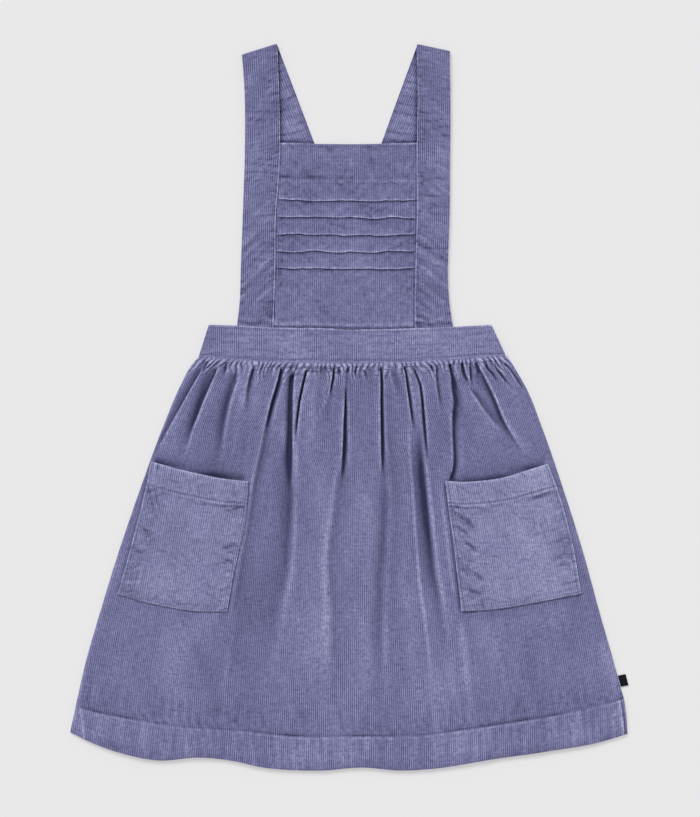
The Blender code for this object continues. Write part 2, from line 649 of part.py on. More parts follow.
def bib(material):
    """The bib between the straps, with its pintucks raised in the outer sheet."""
    u = np.linspace(0.0, 1.0, BIB_COLUMNS + 1)
    seam_left, seam_right = LEFT_STRAP.inner[0].x, RIGHT_STRAP.inner[0].x
    low_y = line_y(BAND_TOP, seam_left + u * (seam_right - seam_left)) + SEAM_GAP
    top_y = BIB_TOP - BIB_TOP_DIP * np.sin(math.pi * u)

    def place(level):
        y = low_y + (level - BIB_BOTTOM) / (BIB_TOP - BIB_BOTTOM) * (top_y - low_y)
        left = line_x(LEFT_STRAP.inner, y) + SEAM_GAP + SEAM_EASE
        right = line_x(RIGHT_STRAP.inner, y) - SEAM_GAP - SEAM_EASE
        return left + u * (right - left), y

    outer, inner = [], []
    ends = np.where((u > 0.0) & (u < 1.0), 1.0, TUCK_END_SHARE)
    for level, height in bib_levels():
        x, y = place(level)
        outer.append(row_of(x, y, bib_floor(x, y) + BIB_CLOTH + height * ends))
    for level in np.linspace(BIB_TOP, BIB_BOTTOM, BIB_INNER_ROWS):
        x, y = place(level)
        inner.append(row_of(x, y, bib_floor(x, y)))
    return cloth_wall("bib_front", outer, inner, material)


def strap_row(cut, front, share, across):
    """x and y of one row across a strap's front or back run, this share of the way along the run."""
    if front:
        starts, ends = (cut.outer[0], cut.inner[0]), (cut.fold_outer, cut.fold_inner)
        shift = SEAM_GAP * (1.0 - share)
    else:
        starts, ends = (cut.fold_outer, cut.fold_inner), (cut.end_outer, cut.end_inner)
        shift = 0.0
    outer_y, inner_y = (start.y + share * (end.y - start.y) + shift for start, end in zip(starts, ends))
    if front:
        outer_x, inner_x = line_x(cut.outer, outer_y), line_x(cut.inner, inner_y)
    else:
        outer_x, inner_x = back_run_edges(cut, outer_y)[0], back_run_edges(cut, inner_y)[1]
    return outer_x + across * (inner_x - outer_x), outer_y + across * (inner_y - outer_y)


def strap(name, cut, back_floor, material):
    """One strap: up the bib's side, over the shoulder fold, and down behind the bib to the back waistband."""
    across = np.linspace(0.0, 1.0, STRAP_COLUMNS + 1)
    half = STRAP_CLOTH / 2
    outer, inner = [], []

    def add(x, y, z, normal_xy=(0.0, 0.0), normal_z=1.0):
        centre = row_of(x, y, z)
        normal = row_of(normal_xy[0], normal_xy[1], np.full_like(across, normal_z))
        outer.append(centre + half * normal)
        inner.append(centre - half * normal)

    low = STRAP_CLOTH + SEAM_GAP + STRAP_EASE + half
    at_band = BAND_CLOTH + SEAM_GAP + BIB_SEAM_LIFT + half
    fold_top = SHOULDER_LIFT + half
    for share in FRONT_STATIONS:
        x, y = strap_row(cut, True, share, across)
        near_band = 1.0 - smoothstep(share / BAND_SHARE)
        near_fold = smoothstep((share - LIFT_SHARE) / (1.0 - LIFT_SHARE))
        add(x, y, low + (at_band - low) * near_band + (fold_top - low) * near_fold)
    fold = np.array([cut.fold_inner.x - cut.fold_outer.x, cut.fold_inner.y - cut.fold_outer.y])
    away = np.array([-fold[1], fold[0]]) / np.linalg.norm(fold) * np.sign(fold[0])
    radius, middle = (fold_top - half) / 2, (fold_top + half) / 2
    fold_x = cut.fold_outer.x + across * fold[0]
    fold_y = cut.fold_outer.y + across * fold[1]
    for step in range(1, FOLD_STEPS):
        sine, cosine = math.sin(math.pi * step / FOLD_STEPS), math.cos(math.pi * step / FOLD_STEPS)
        reach = away * radius * sine
        add(fold_x + reach[0], fold_y + reach[1], middle + radius * cosine, away * sine, cosine)
    for share in BACK_STATIONS:
        x, y = strap_row(cut, False, share, across)
        add(x, y, back_floor(x, y) + half, normal_z=-1.0)
    return cloth_wall(name, outer, inner, material)


def pocket(name, cut, material):
    """A patch pocket: its points are the front skirt's, moved out, with a turned hem at the mouth."""
    u = np.linspace(0.0, 1.0, POCKET_COLUMNS + 1)
    hem_share = POCKET_HEM / POCKET_DROP
    plain = [share for share in np.linspace(0.0, 1.0, POCKET_ROWS) if share > hem_share + 0.05]
    top_y = line_y(cut.top, along(cut.top, u))
    low_y = line_y(cut.bottom, along(cut.bottom, u))
    outer, inner = [], []
    for share in (0.0, hem_share / 2, hem_share - 0.005, hem_share + 0.005, *plain):
        y = top_y + share * (low_y - top_y)
        left, right = line_x(cut.left, y[0]), line_x(cut.right, y[-1])
        x = left + u * (right - left)
        skirt_left, skirt_right = skirt_side(y, "left"), skirt_side(y, "right")
        panel = front_skirt_top(x, y, (x - skirt_left) / (skirt_right - skirt_left))
        gape = math.exp(-((share * POCKET_DROP / POCKET_MOUTH_REACH) ** 2))
        floor = panel + SEAM_GAP + POCKET_EASE + POCKET_MOUTH * gape * np.sin(math.pi * u) ** 0.7
        hem = POCKET_HEM_STEP * (share < hem_share)
        rounding = POCKET_ROUNDING * (share in (0.0, 1.0))
        inner.append(row_of(x, y, floor))
        outer.append(row_of(x, y, floor + POCKET_CLOTH + hem - rounding))
    return cloth_wall(name, outer, inner, material)


def side_label(material):
    """A small folded tape that stands out of the right side seam."""
    rows = []
    for up in (0.5, -0.5):
        y = LABEL_PLACE + up * LABEL_HEIGHT
        start = np.array([skirt_side(y, "right") + SEAM_GAP + SEAM_EASE, y])
        tip = start + LABEL_LENGTH * np.array([math.cos(LABEL_TILT), math.sin(LABEL_TILT)])
        rows.append([start + share * (tip - start) for share in (0.0, 0.5, 0.9, 1.0)])

    def sheet(z):
        return [np.array([(*point, z) for point in row]) for row in rows]

    return cloth_wall("side_label", sheet(LABEL_FLOOR + LABEL_THICKNESS), sheet(LABEL_FLOOR), material)


def main():
    for old in list(bpy.data.objects):
        bpy.data.objects.remove(old, do_unlink=True)
    corduroy = cloth_material("corduroy", (0.181, 0.178, 0.337), 0.85)
    pocket_corduroy = cloth_material("pocket_corduroy", (0.216, 0.216, 0.381), 0.85)
    label_tape = cloth_material("label_tape", (0.012, 0.014, 0.03), 0.7)
    back_skirt(corduroy)
    front_skirt(corduroy)
    waistband("waistband_back", 0.0, 0.0, corduroy)
    waistband("waistband_front", BAND_CLOTH + SEAM_GAP, BAND_RIPPLE, corduroy)
    bib(corduroy)
    strap("strap_left", LEFT_STRAP, upper_strap_floor, corduroy)
    strap("strap_right", RIGHT_STRAP, lambda x, y: np.zeros_like(x), corduroy)
    pocket("pocket_left", LEFT_POCKET, pocket_corduroy)
    pocket("pocket_right", RIGHT_POCKET, pocket_corduroy)
    side_label(label_tape)


main()
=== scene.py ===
"""The looks of a child's corduroy pinafore, laid flat on its back with the front up.

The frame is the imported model's: +X to the right as the front is seen, +Y from the hem to the shoulders,
+Z up from the surface that the pinafore lies on. Sizes here are in millimetres, and MM turns them into
the metres that Blender works in.

Every piece of cloth is a closed thin wall. Its shown face carries the cord's wales as real ridges: the
columns of points run along the wales, four to a wale, and the grooves sink into the cloth. Where a
panel is gathered, the columns are laid out by the length of cloth across each row, so that the wales run
down the panel from the waist seam to the hem as cut cloth does.
"""

import logging
import math
from collections.abc import Callable, Sequence
from dataclasses import dataclass, field
from enum import Enum
from typing import NamedTuple

import bpy
import numpy as np
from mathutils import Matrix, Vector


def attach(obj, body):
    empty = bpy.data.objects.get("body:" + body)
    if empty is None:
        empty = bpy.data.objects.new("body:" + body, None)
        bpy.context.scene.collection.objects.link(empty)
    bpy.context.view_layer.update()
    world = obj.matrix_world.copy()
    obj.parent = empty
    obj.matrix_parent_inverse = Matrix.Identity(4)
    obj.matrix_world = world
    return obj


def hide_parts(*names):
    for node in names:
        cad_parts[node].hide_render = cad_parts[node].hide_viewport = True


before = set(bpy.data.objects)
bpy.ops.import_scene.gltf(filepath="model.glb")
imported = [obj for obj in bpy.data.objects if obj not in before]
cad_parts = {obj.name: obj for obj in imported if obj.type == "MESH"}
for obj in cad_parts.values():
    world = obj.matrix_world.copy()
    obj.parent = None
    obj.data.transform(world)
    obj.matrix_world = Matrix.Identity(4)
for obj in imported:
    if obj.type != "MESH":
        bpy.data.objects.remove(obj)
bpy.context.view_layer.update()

Array = np.ndarray
Colour = tuple[float, float, float]
Line = tuple[tuple[float, float], ...]
# Rows of three numbers: soft lines (strength, place, reach) or waves (strength, turns, start)
Rows = tuple[tuple[float, float, float], ...]
Material = bpy.types.Material
Piece = bpy.types.Object
Socket = bpy.types.NodeSocket

MM = 0.001
TURN = 2 * math.pi
ROOT = "root"
LOG = logging.getLogger("pinafore")

# The cord: one wale's width, how deep its groove is, and the points across it
WALE = 1.85
WALE_COLUMNS = 4
WALE_DEPTH = 0.42
STEP = WALE / WALE_COLUMNS

# Cloth thickness and the gap between pieces
SKIRT_CLOTH = 1.5
BIB_CLOTH = 1.7
STRAP_CLOTH = 1.8
BAND_CLOTH = 2.3
POCKET_CLOTH = 1.4
SEAM_GAP = 0.3
SEAM_EASE = 0.2


class Slot(Enum):
    """The record's material slots."""

    CORDUROY = "corduroy"
    POCKET = "pocket_corduroy"
    LABEL = "label_tape"


class Held(Enum):
    """How a sheet of cloth is held."""

    LAID = "laid"
    GATHERED = "gathered"
    FOLDED = "folded"


class Way(Enum):
    """Which way a face of the cloth looks from its grid of rows and columns."""

    UP = 1.0
    DOWN = -1.0


class Spot(NamedTuple):
    """A point of an outline."""

    x: float
    y: float


def hermite(keys: Array, values: Array, at: Array) -> Array:
    """Reads the smooth curve through some keys.

    Args:
        keys: Places of the keys, rising.
        values: The curve's value at each key.
        at: Places to read it at.

    Returns:
        The curve's values there; beyond the ends they stay level.
    """
    keys, values = np.asarray(keys, float), np.asarray(values, float)
    slopes = np.gradient(values, keys)
    at = np.clip(at, keys[0], keys[-1])
    index = np.clip(np.searchsorted(keys, at) - 1, 0, len(keys) - 2)
    step = keys[index + 1] - keys[index]
    t = (at - keys[index]) / step
    rise = values[index + 1] - values[index]
    start, end = slopes[index] * step, slopes[index + 1] * step
    return values[index] + t * (start + t * (3 * rise - 2 * start - end + t * (start + end - 2 * rise)))


def smoothstep(t: Array) -> Array:
    """0 up to 0, 1 from 1 on, and a smooth step between."""
    t = np.clip(t, 0.0, 1.0)
    return t * t * (3.0 - 2.0 * t)


def near(distance: Array, reach: float) -> Array:
    """1 at no distance, fading to nothing past the reach."""
    return np.exp(-((distance / reach) ** 2))


def marked(distance: Array, lines: Rows) -> Array:
    """The sum of soft lines across a piece: each has a strength, a place and a reach."""
    return sum(strength * near(distance - place, reach) for strength, place, reach in lines)


def wave(turns: Array) -> Array:
    """A sine wave, by whole turns."""
    return np.sin(TURN * turns)


def uneven(at: Array, waves: Rows) -> Array:
    """The sum of waves: each has a strength, its turns over the whole and its start in turns."""
    return sum(strength * wave(turns * at + start) for strength, turns, start in waves)


@dataclass(frozen=True)
class Outline:
    """A line through a few given spots."""

    spots: Line

    def y_at(self, x: Array) -> Array:
        """The y of a line that runs from left to right."""
        return hermite([spot[0] for spot in self.spots], [spot[1] for spot in self.spots], x)

    def x_at(self, y: Array) -> Array:
        """The x of a line that runs up or down."""
        rows = sorted(self.spots, key=lambda spot: spot[1])
        return hermite([spot[1] for spot in rows], [spot[0] for spot in rows], y)

    def along(self, share: Array) -> Array:
        """The x that lies this share of the way from the first spot to the last."""
        return self.spots[0][0] + share * (self.spots[-1][0] - self.spots[0][0])


@dataclass(frozen=True)
class Ripples:
    """Small uneven waves in cloth, from a few sines with seeded directions and starts.

    Across and down are the shortest waves that run each way.
    """

    seed: int
    height: float
    across: float
    down: float
    waves: int = 11
    line: float = 0.9

    def field(self, x: Array, y: Array) -> Array:
        """An uneven wave, about 0 on average and 1 in size.

        Args:
            x: Places across.
            y: Places down.

        Returns:
            Its values there.
        """
        return self._field_and_slope(x, y)[0]

    def _field_and_slope(self, x: Array, y: Array) -> tuple[Array, Array]:
        """The uneven wave, and how steeply it changes there."""
        random = np.random.default_rng(self.seed)
        total, slope_x, slope_y = (np.zeros(np.broadcast(x, y).shape) for _ in range(3))
        for _ in range(self.waves):
            turns_x = random.uniform(-1.0, 1.0) / self.across
            turns_y = random.choice((-1.0, 1.0)) * random.uniform(0.45, 1.0) / self.down
            phase = TURN * (turns_x * x + turns_y * y + random.uniform(0.0, 1.0))
            total = total + np.sin(phase)
            slope_x = slope_x + TURN * turns_x * np.cos(phase)
            slope_y = slope_y + TURN * turns_y * np.cos(phase)
        scale = math.sqrt(2.0 / self.waves)
        return total * scale, np.hypot(slope_x, slope_y) * scale

    def at(self, x: Array, y: Array) -> Array:
        """The height of the waves as soft swells."""
        return self.height * self.field(x, y)

    def creased(self, x: Array, y: Array) -> Array:
        """Narrow creases pressed into the cloth where the waves cross 0, so that what they add is below 0."""
        value, slope = self._field_and_slope(x, y)
        return -self.height * near(value / np.maximum(slope, 1e-3), self.line)


@dataclass(frozen=True)
class Crease:
    """One fold of the skirt: a valley where its depth is positive, a ridge where it is negative.

    Lean sharpens the side that it points to: -1 the left one, 1 the right one. Steep is 2 for a round fold,
    and 4 for a slit with upright walls. Tone is how much shade is painted into it, a painted highlight where
    it is below 0, and crest how pale the line along its sharp side is, a painted highlight on its rubbed
    edge.
    """

    line: Line
    width: float
    depth: float
    lean: float = 0.0
    steep: float = 2.0
    hold: float = 0.45
    grow: float = 0.12
    shoulder: float = 0.08
    tone: float = 0.15
    crest: float = 0.0
    widening: float = 0.35

    LEANING = 0.6
    CREST_PLACE = 1.45
    CREST_REACH = 0.55
    CREST_SPREAD = 0.4
    CREST_GROWTH = 0.7
    CREST_LOSS = 0.35
    CREST_FADE = 0.5
    CREST_RISE = 0.5
    SOFT = 1.5
    HIDING = 1.5
    SHOULDER_PLACE = 1.7
    SHOULDER_SPREAD = 0.7

    def _place(self, x: Array, y: Array) -> tuple[Array, Array]:
        """How far to the right of the fold's line a point lies, and its share of the way down it."""
        top, bottom = self.line[0][1], self.line[-1][1]
        return x - Outline(self.line).x_at(y), (top - y) / (top - bottom)

    def _across(self, x: Array, y: Array) -> tuple[Array, Array]:
        """How far out of the fold a point lies, 0 on its line, and the fold's strength down its length."""
        side, t = self._place(x, y)
        soft_side = 0.0
        if self.lean:
            soft_side = np.clip(0.5 - 2.0 * np.sign(self.lean) * side / self.width, 0.0, 1.0)
        width = self.width * (1.0 - self.LEANING * abs(self.lean) * (1.0 - 2.0 * soft_side))
        s = np.abs(side) / (width * (1.0 + self.widening * np.clip(t, 0.0, 1.0)))
        s = s ** (self.steep + (min(self.steep, self.SOFT) - self.steep) * soft_side)
        strength = smoothstep(t / self.grow) * (1.0 - smoothstep((t - self.hold) / (1.0 - self.hold)))
        return s, strength

    def height(self, x: Array, y: Array) -> Array:
        """The height that the fold adds to the cloth."""
        s, strength = self._across(x, y)
        shoulders = self.shoulder * near(np.sqrt(s) - self.SHOULDER_PLACE, self.SHOULDER_SPREAD)
        return self.CREST_RISE * self._crest(x, y) - self.depth * strength * (np.exp(-s) - shoulders)

    def shade(self, x: Array, y: Array) -> Array:
        """The painted shade that the fold adds, below 0 in a valley, with its pale crest line."""
        s, strength = self._across(x, y)
        return self._crest(x, y) - self.tone * strength * np.exp(-s)

    def _crest(self, x: Array, y: Array) -> Array:
        """The pale line along the fold's sharp side, a painted highlight on its rubbed edge."""
        side, t = self._place(x, y)
        down = np.clip(t, 0.0, 1.0)
        edge = self.width * (1.0 - self.LEANING * abs(self.lean)) * (1.0 + self.widening * down)
        off = side * (-1.0 if self.lean < 0.0 else 1.0) - self.CREST_PLACE * edge
        reach = self.CREST_REACH + self.CREST_SPREAD * edge * (self.CREST_GROWTH + down)
        fade = smoothstep(t / self.grow) * smoothstep((1.0 - t) / self.CREST_FADE)
        return self.crest * (1.0 - self.CREST_LOSS * down) * fade * near(off, reach)

    def hidden(self, x: Array, y: Array) -> Array:
        """How much cloth the fold takes out of sight, by place."""
        if self.depth < 0.0:
            return np.zeros(np.broadcast(x, y).shape)
        s, strength = self._across(x, y)
        return self.depth / self.width * strength * np.exp(-self.HIDING * s)

# Folds of the front skirt from left to right, as read from the waist seam down: its slits first.
# Those with no depth only paint shade on the cloth, and a highlight where their tone is below 0.
FRONT_CREASES = (
    Crease(((-128.3, 37), (-133.6, 28.2), (-142.4, 13.2), (-150.3, -0.9), (-162, -22), (-168.6, -34),
        (-174.5, -47)), 2.6, 3.4, 0.8, steep=3, hold=0.7, tone=0.5, crest=0.35, widening=0),
    Crease(((-124, 41), (-126.5, 36), (-129, 30)), 1.1, 2.4, 0.3, steep=3, hold=0.6, tone=0.5),
    Crease(((-116, 38), (-119.4, 29), (-122.6, 22), (-127, 12.3), (-131.4, 1.8), (-135.8, -9.7),
        (-140.2, -20.2), (-143.9, -33.4), (-148.6, -48)), 3.2, 4.8, 0.8, steep=3.2, hold=0.45, tone=0.62,
        crest=0.35),
    Crease(((-107.4, 40), (-108.7, 33.4), (-110.7, 25.5)), 1, 2.4, 0.3, steep=3, hold=0.3, tone=0.45),
    Crease(((-98.6, 36), (-100.2, 28), (-103.2, 18.5), (-106.7, 7.9), (-109.4, -2.6), (-112, -15.8),
        (-113.8, -29), (-117.4, -50), (-119, -62)), 3.5, 3.6, 0.35, steep=3, hold=0.3, tone=0.45, crest=0.25,
        widening=0.2),
    Crease(((-82.6, 37), (-85.4, 29), (-87.2, 21), (-89.1, 6.2), (-90, -12)), 1.9, 3.4, -0.3, steep=2.6,
        hold=0.22, tone=0.45, crest=0.2),
    Crease(((-58.8, 35.6), (-61.2, 24), (-64.5, 12.3), (-67.6, 1.8), (-70.2, -9.7), (-72.4, -20.2),
        (-74.2, -31)), 1.6, 6.2, -0.25, steep=3.8, hold=0.45, grow=0.06, tone=0.85, crest=0.4),
    Crease(((-48.4, 32), (-50.2, 26), (-51.3, 15), (-51.9, -2.6), (-52.2, -20.2), (-52.6, -37.8),
        (-53.2, -58), (-54, -80)), 1.9, 6.6, 0.2, steep=3.4, hold=0.5, grow=0.07, tone=0.85, crest=0.3,
        widening=0.7),
    Crease(((-37.3, 33.6), (-38.2, 29), (-39.9, 22), (-41.8, 13.2), (-43.6, 4.4), (-45.1, -7),
        (-46.6, -20.2), (-47.8, -37.8)), 0.78, 7, 0.2, steep=4, hold=0.3, grow=0.06, tone=0.9, crest=0.3),
    Crease(((-30.6, 38), (-32.4, 31), (-34.2, 26)), 1, 2, 0.3, hold=0.5, tone=0.4),
    Crease(((-12.8, 37.4), (-14, 27.8), (-15.2, 20), (-16.2, 13.6), (-16.6, 6)), 0.75, 5.4, -0.2, steep=3.6,
        hold=0.4, tone=0.8, crest=0.3),
    Crease(((-15.6, 17), (-17.4, 12.6), (-21.4, 4.4), (-25.8, -4.4), (-29.3, -11.4), (-34.4, -22)), 1, -0.6,
        hold=0.6, grow=0.25, tone=-0.26),
    Crease(((-15.4, 20), (-17, 6), (-19.5, -8), (-21, -24)), 4.2, 1.5, 0.3, hold=0.45, grow=0.5, tone=0.26,
        widening=0.7),
    Crease(((-8.6, 36), (-9.2, 31), (-9.4, 26)), 1, 2, hold=0.5, tone=0.36),
    Crease(((0.9, 37), (-0.8, 33), (-2.2, 28.6)), 1, 2.4, hold=0.6, tone=0.42),
    Crease(((-2, 30), (-2.6, 20), (-2.9, 8)), 0.8, 0.9, -0.2, hold=0.7, tone=0.24, crest=0.2),
    Crease(((-2.8, 19), (-3.1, 9), (-3.3, 1), (-3.5, -7), (-3.8, -17), (-3.9, -29), (-4.3, -42.2),
        (-5.1, -55.4), (-6.4, -72)), 0.75, 6.8, -0.25, steep=4, hold=0.55, grow=0.24, tone=0.95, crest=0.3,
        widening=2.2),
    Crease(((5.8, 36), (5.2, 31), (4.6, 26)), 1, 2.2, hold=0.5, tone=0.45),
    Crease(((13.4, 32), (14.4, 28.6), (15.2, 24)), 1.1, 1.8, hold=0.4, tone=0.36),
    Crease(((27.4, 37), (28, 31), (28.4, 22), (28.5, 6.2), (28.8, -11.4), (29.2, -29), (29.7, -46.6),
        (30.6, -68)), 0.85, 7.4, -0.1, steep=4, hold=0.55, grow=0.05, tone=0.95, crest=0.22, widening=1.1),
    Crease(((36, 31), (37.2, 24), (39.4, 14), (43.4, 4)), 0.9, -0.4, hold=0.6, tone=-0.2),
    Crease(((39.5, 32), (42, 22), (45.5, 11), (49, 2)), 4, 1.2, -0.5, hold=0.4, tone=0.2),
    Crease(((47.4, 37.4), (49.6, 30), (51.2, 19.4), (52.5, 10.6), (53.9, 1.8), (55.2, -7), (57.2, -18),
        (59.4, -31)), 0.75, 6.2, -0.35, steep=3.6, hold=0.3, grow=0.07, tone=0.85, crest=0.3, widening=1.4),
    Crease(((55.2, 38), (58, 30.6), (60.9, 24), (62.7, 18.5), (63.8, 11.4), (64.6, 3.5), (65.3, -5.3),
        (66, -14.1), (66.9, -26.4), (67.8, -37.8), (69, -55)), 0.8, 6.6, 0.25, steep=4, hold=0.4, grow=0.2,
        tone=0.85, crest=0.3, widening=0.7),
    Crease(((71.2, 39), (72.6, 34), (73.8, 29)), 1, 2.4, 0.2, hold=0.5, tone=0.5),
    Crease(((76.8, 38), (77.2, 24), (78.9, 10.6), (80.6, 1.8), (80.4, -8)), 1.1, 2, -0.4, hold=0.5,
        tone=0.36, crest=0.25),
    Crease(((88.2, 38.6), (89.9, 30), (91.3, 22.9), (92.2, 14)), 1.2, 6, -0.2, steep=3.6, hold=0.8,
        tone=0.9),
    Crease(((90.6, 27), (92, 15), (93.5, 5), (92.8, -5), (92.1, -18)), 3.3, 4.6, -0.6, steep=2.8, hold=0.5,
        grow=0.3, tone=0.62, crest=0.35, widening=0),
    Crease(((92.2, 0), (92.1, -15.8), (92.4, -29), (92.9, -46.6), (92.4, -54), (90.6, -60), (87.6, -65.5),
        (84, -70.5)), 2.7, 3.8, -0.6, steep=2.6, hold=0.88, tone=0.4, crest=0.35, widening=-0.2),
    Crease(((80.6, -66), (81.4, -80), (84.4, -105), (88, -135), (92.4, -165), (97, -192)), 1.7, -0.5,
        hold=0.6, tone=-0.16),
    Crease(((98.8, 40), (100.1, 32.6), (101.2, 28), (103.6, 22.9), (106.4, 17)), 1.2, 5, 0.2, steep=3.4,
        hold=0.35, tone=0.8),
    Crease(((106, 39.6), (106.7, 31), (107.2, 23.8), (108.6, 15)), 1, 2.8, -0.2, steep=3, tone=0.5,
        crest=0.2),
    Crease(((106, 18), (113.3, 7.9), (118.5, 0), (123.8, -7), (130, -14.1), (136.1, -21.1), (144, -30.5)),
        2.8, 2.6, -0.7, steep=2.4, hold=0.4, tone=0.34, crest=0.22, widening=0.6),
    Crease(((110.8, 39.4), (113.3, 32.6), (116.8, 26.4), (120.3, 19.4), (123.8, 12.3), (127.3, 4.4),
        (130.6, -4.4), (133.9, -12.3), (138.3, -20.2), (143.6, -29), (149.6, -37.8), (157, -47)), 3.2, 4.4,
        0.8, steep=2.8, hold=0.5, grow=0.1, tone=0.48, crest=0.42),
    Crease(((138, -12), (144, -22), (152, -33), (164, -46.5)), 3.4, -0.5, hold=0.6, grow=0.3, tone=-0.16),
    Crease(((110.6, 39.4), (112.6, 34.2), (116.4, 28)), 1.2, 3.6, steep=3, hold=0.5, tone=0.6),
    Crease(((117.4, 40.6), (121.2, 34.3), (126.5, 28.2), (131, 19.4)), 1.1, 2.6, -0.2, steep=3, hold=0.5,
        tone=0.45),
    Crease(((126.3, 40), (130, 32.6), (134.6, 26.4), (139.9, 20.2), (143.5, 15.6)), 1.1, 2.6, -0.2, steep=3,
        hold=0.5, tone=0.45, crest=0.2),
    Crease(((134, 40.4), (138, 36.4), (142.4, 31.5), (146.7, 25.5), (150.7, 19.4), (154.5, 13.6)), 1.1, 2.8,
        -0.4, steep=3.2, hold=0.7, tone=0.6, crest=0.45),
    # The soft folds that the slits run out into.
    Crease(((-117.3, -40), (-121, -78), (-124, -120)), 7, 1.2, -0.4, tone=0.08),
    Crease(((-69.4, -4), (-72.8, -26), (-75.9, -42.2), (-79.9, -59.8), (-86, -99.4), (-94.4, -143.4),
        (-103, -205), (-113.8, -258)), 4.8, 2, -0.8, hold=0.25, tone=0.24, crest=0.25),
    Crease(((-97.5, -160), (-103.2, -205), (-109, -237), (-113.8, -264)), 2, -0.4, hold=0.6, grow=0.3,
        tone=-0.15),
    Crease(((-51.8, -18), (-52.6, -42), (-53, -66), (-54.2, -99.4), (-56.4, -134.6), (-59.4, -154),
        (-64.4, -176), (-68.8, -203), (-74, -224), (-77, -262)), 5.8, 2.4, 0.5, steep=2.2, hold=0.25,
        tone=0.42, crest=0.22),
    Crease(((-4.2, -38), (-6, -59.8), (-8.6, -84), (-11.7, -108.2), (-14.3, -134.6), (-12.6, -169.8),
        (-11.7, -205), (-11.7, -249), (-14.3, -292)), 6.2, 1.5, -0.5, hold=0.5, tone=0.12, crest=0.28),
    Crease(((-30, -20), (-27, -55.4), (-21.5, -99.4), (-23.4, -143.4), (-23.4, -205), (-30, -258),
        (-34, -300)), 9.5, -1.8, 0.3, hold=0.5, grow=0.3, tone=-0.14),
    Crease(((5, -30), (12, -70), (19.5, -99.4), (18.2, -143.4), (13, -205), (8, -280)), 6.5, -1.2, grow=0.3,
        tone=-0.08),
    Crease(((29.9, -44), (30.1, -99.4), (27.9, -134.6), (26.1, -169.8), (25.3, -205), (27, -258),
        (28, -300)), 4.4, 1.9, 0.3, hold=0.5, tone=0.17, crest=0.14),
    Crease(((51.6, -8), (52.6, -29), (53.6, -46.6), (55.4, -66), (58.8, -118.8), (63.1, -165.4),
        (68.4, -201.5), (71.9, -238.5), (74.5, -270)), 1.5, -0.7, hold=0.6, tone=-0.3),
    Crease(((59.6, -12), (60.8, -30), (62.4, -52), (64.4, -73), (66.8, -95), (69.6, -121.4), (72.6, -147.8),
        (77, -174.2), (81.4, -205), (86, -240.2)), 4.4, 4.6, 0.4, steep=2.4, hold=0.3, grow=0.22, tone=0.74,
        crest=0.24),
    Crease(((41, -60), (44, -110), (48, -160), (54, -215), (52, -290)), 7, -1.3, hold=0.5, grow=0.3,
        tone=-0.1),
    Crease(((93, -120), (104, -190), (115, -215), (126.5, -258), (130, -300)), 7, 1, grow=0.3, tone=0.04),
    Crease(((97, -182), (101, -215), (106, -258), (107, -290)), 3.6, -0.9, tone=-0.14),
    Crease(((153, -190), (160, -230), (165, -258), (168, -300)), 8, 1.3, -0.4, grow=0.3, tone=0.14),
    Crease(((-228, -225), (-231.7, -258), (-236, -290)), 4.5, 0.7, tone=0.08),
    Crease(((-160, -185), (-150, -245), (-150, -330)), 16, -1.5, tone=-0.08),
    Crease(((-140, -200), (-117, -258), (-119, -325)), 9, 1.3, -0.4, tone=0.12),
    Crease(((192, -190), (203, -235), (208, -290)), 14, 0.5, hold=0.7, tone=0.15),
    Crease(((224, -205), (233, -240), (240, -290)), 6, -0.3, hold=0.8, tone=-0.18),
    # Broad swells and hollows of the lower skirt, several only painted as light and shade, and the small
    # folds by its hem's corners.
    Crease(((-84, -140), (-90, -200), (-92, -250), (-94, -310)), 17, 0.7, hold=0.8, grow=0.3, tone=0.2),
    Crease(((-20, -120), (-18, -180), (-18, -240), (-18, -300)), 20, -0.6, hold=0.7, grow=0.3, tone=-0.07),
    Crease(((-67, -112), (-71, -165), (-74, -225)), 13, 0, hold=0.6, grow=0.3, tone=0.2),
    Crease(((-84, -286), (-84, -316)), 15, 0, hold=0.8, tone=0.24),
    Crease(((50, -55), (53, -95), (57, -140)), 8, 0, hold=0.6, grow=0.3, tone=-0.14),
    Crease(((35, 10), (37.5, -30), (38, -90), (41, -150), (44, -230)), 7, 0.6, hold=0.5, grow=0.2, tone=0.2,
        widening=1),
    Crease(((118, -172), (128, -215), (132, -260), (134, -310)), 15, -0.5, hold=0.8, tone=-0.15),
    Crease(((-212, -200), (-224, -250), (-230, -290)), 12, 0.3, hold=0.8, tone=0.14),
    Crease(((-128, -176), (-130, -200), (-132, -232)), 14, -0.3, hold=0.5, tone=-0.12),
    Crease(((106, 28), (116, 0), (124, -36)), 12, -0.3, hold=0.7, grow=0.3, tone=-0.1),
    Crease(((-237, -260), (-235, -274), (-232.6, -296)), 0.9, -0.4, hold=0.8, tone=-0.35),
    Crease(((238.5, -256), (239.6, -262), (241.8, -276), (243, -300)), 0.7, 1, steep=3, hold=0.8, tone=0.6),
    Crease(((236.8, -256), (238, -262), (240.2, -276), (241.5, -300)), 0.9, -0.3, hold=0.8, tone=-0.5),
)
# Grooves that the back skirt's gathers leave over the surface.
BACK_CREASES = (
    Crease(((-112, 52), (-126, 0), (-142, -60)), 4.5, -1.3),
    Crease(((-84, 52), (-96, -5), (-108, -85)), 5, -1.5),
    Crease(((-57, 52), (-63, -5), (-72, -70)), 4.5, -1.4),
    Crease(((-28, 52), (-33, -10), (-38, -100)), 5, -1.6),
    Crease(((-4, 52), (-5, -5), (-9, -75)), 4.5, -1.4),
    Crease(((24, 52), (27, -10), (33, -95)), 5, -1.6),
    Crease(((50, 52), (58, -5), (64, -70)), 4.5, -1.4),
    Crease(((82, 52), (92, -5), (106, -85)), 5, -1.5),
    Crease(((112, 52), (126, 0), (144, -60)), 4.5, -1.3),
)

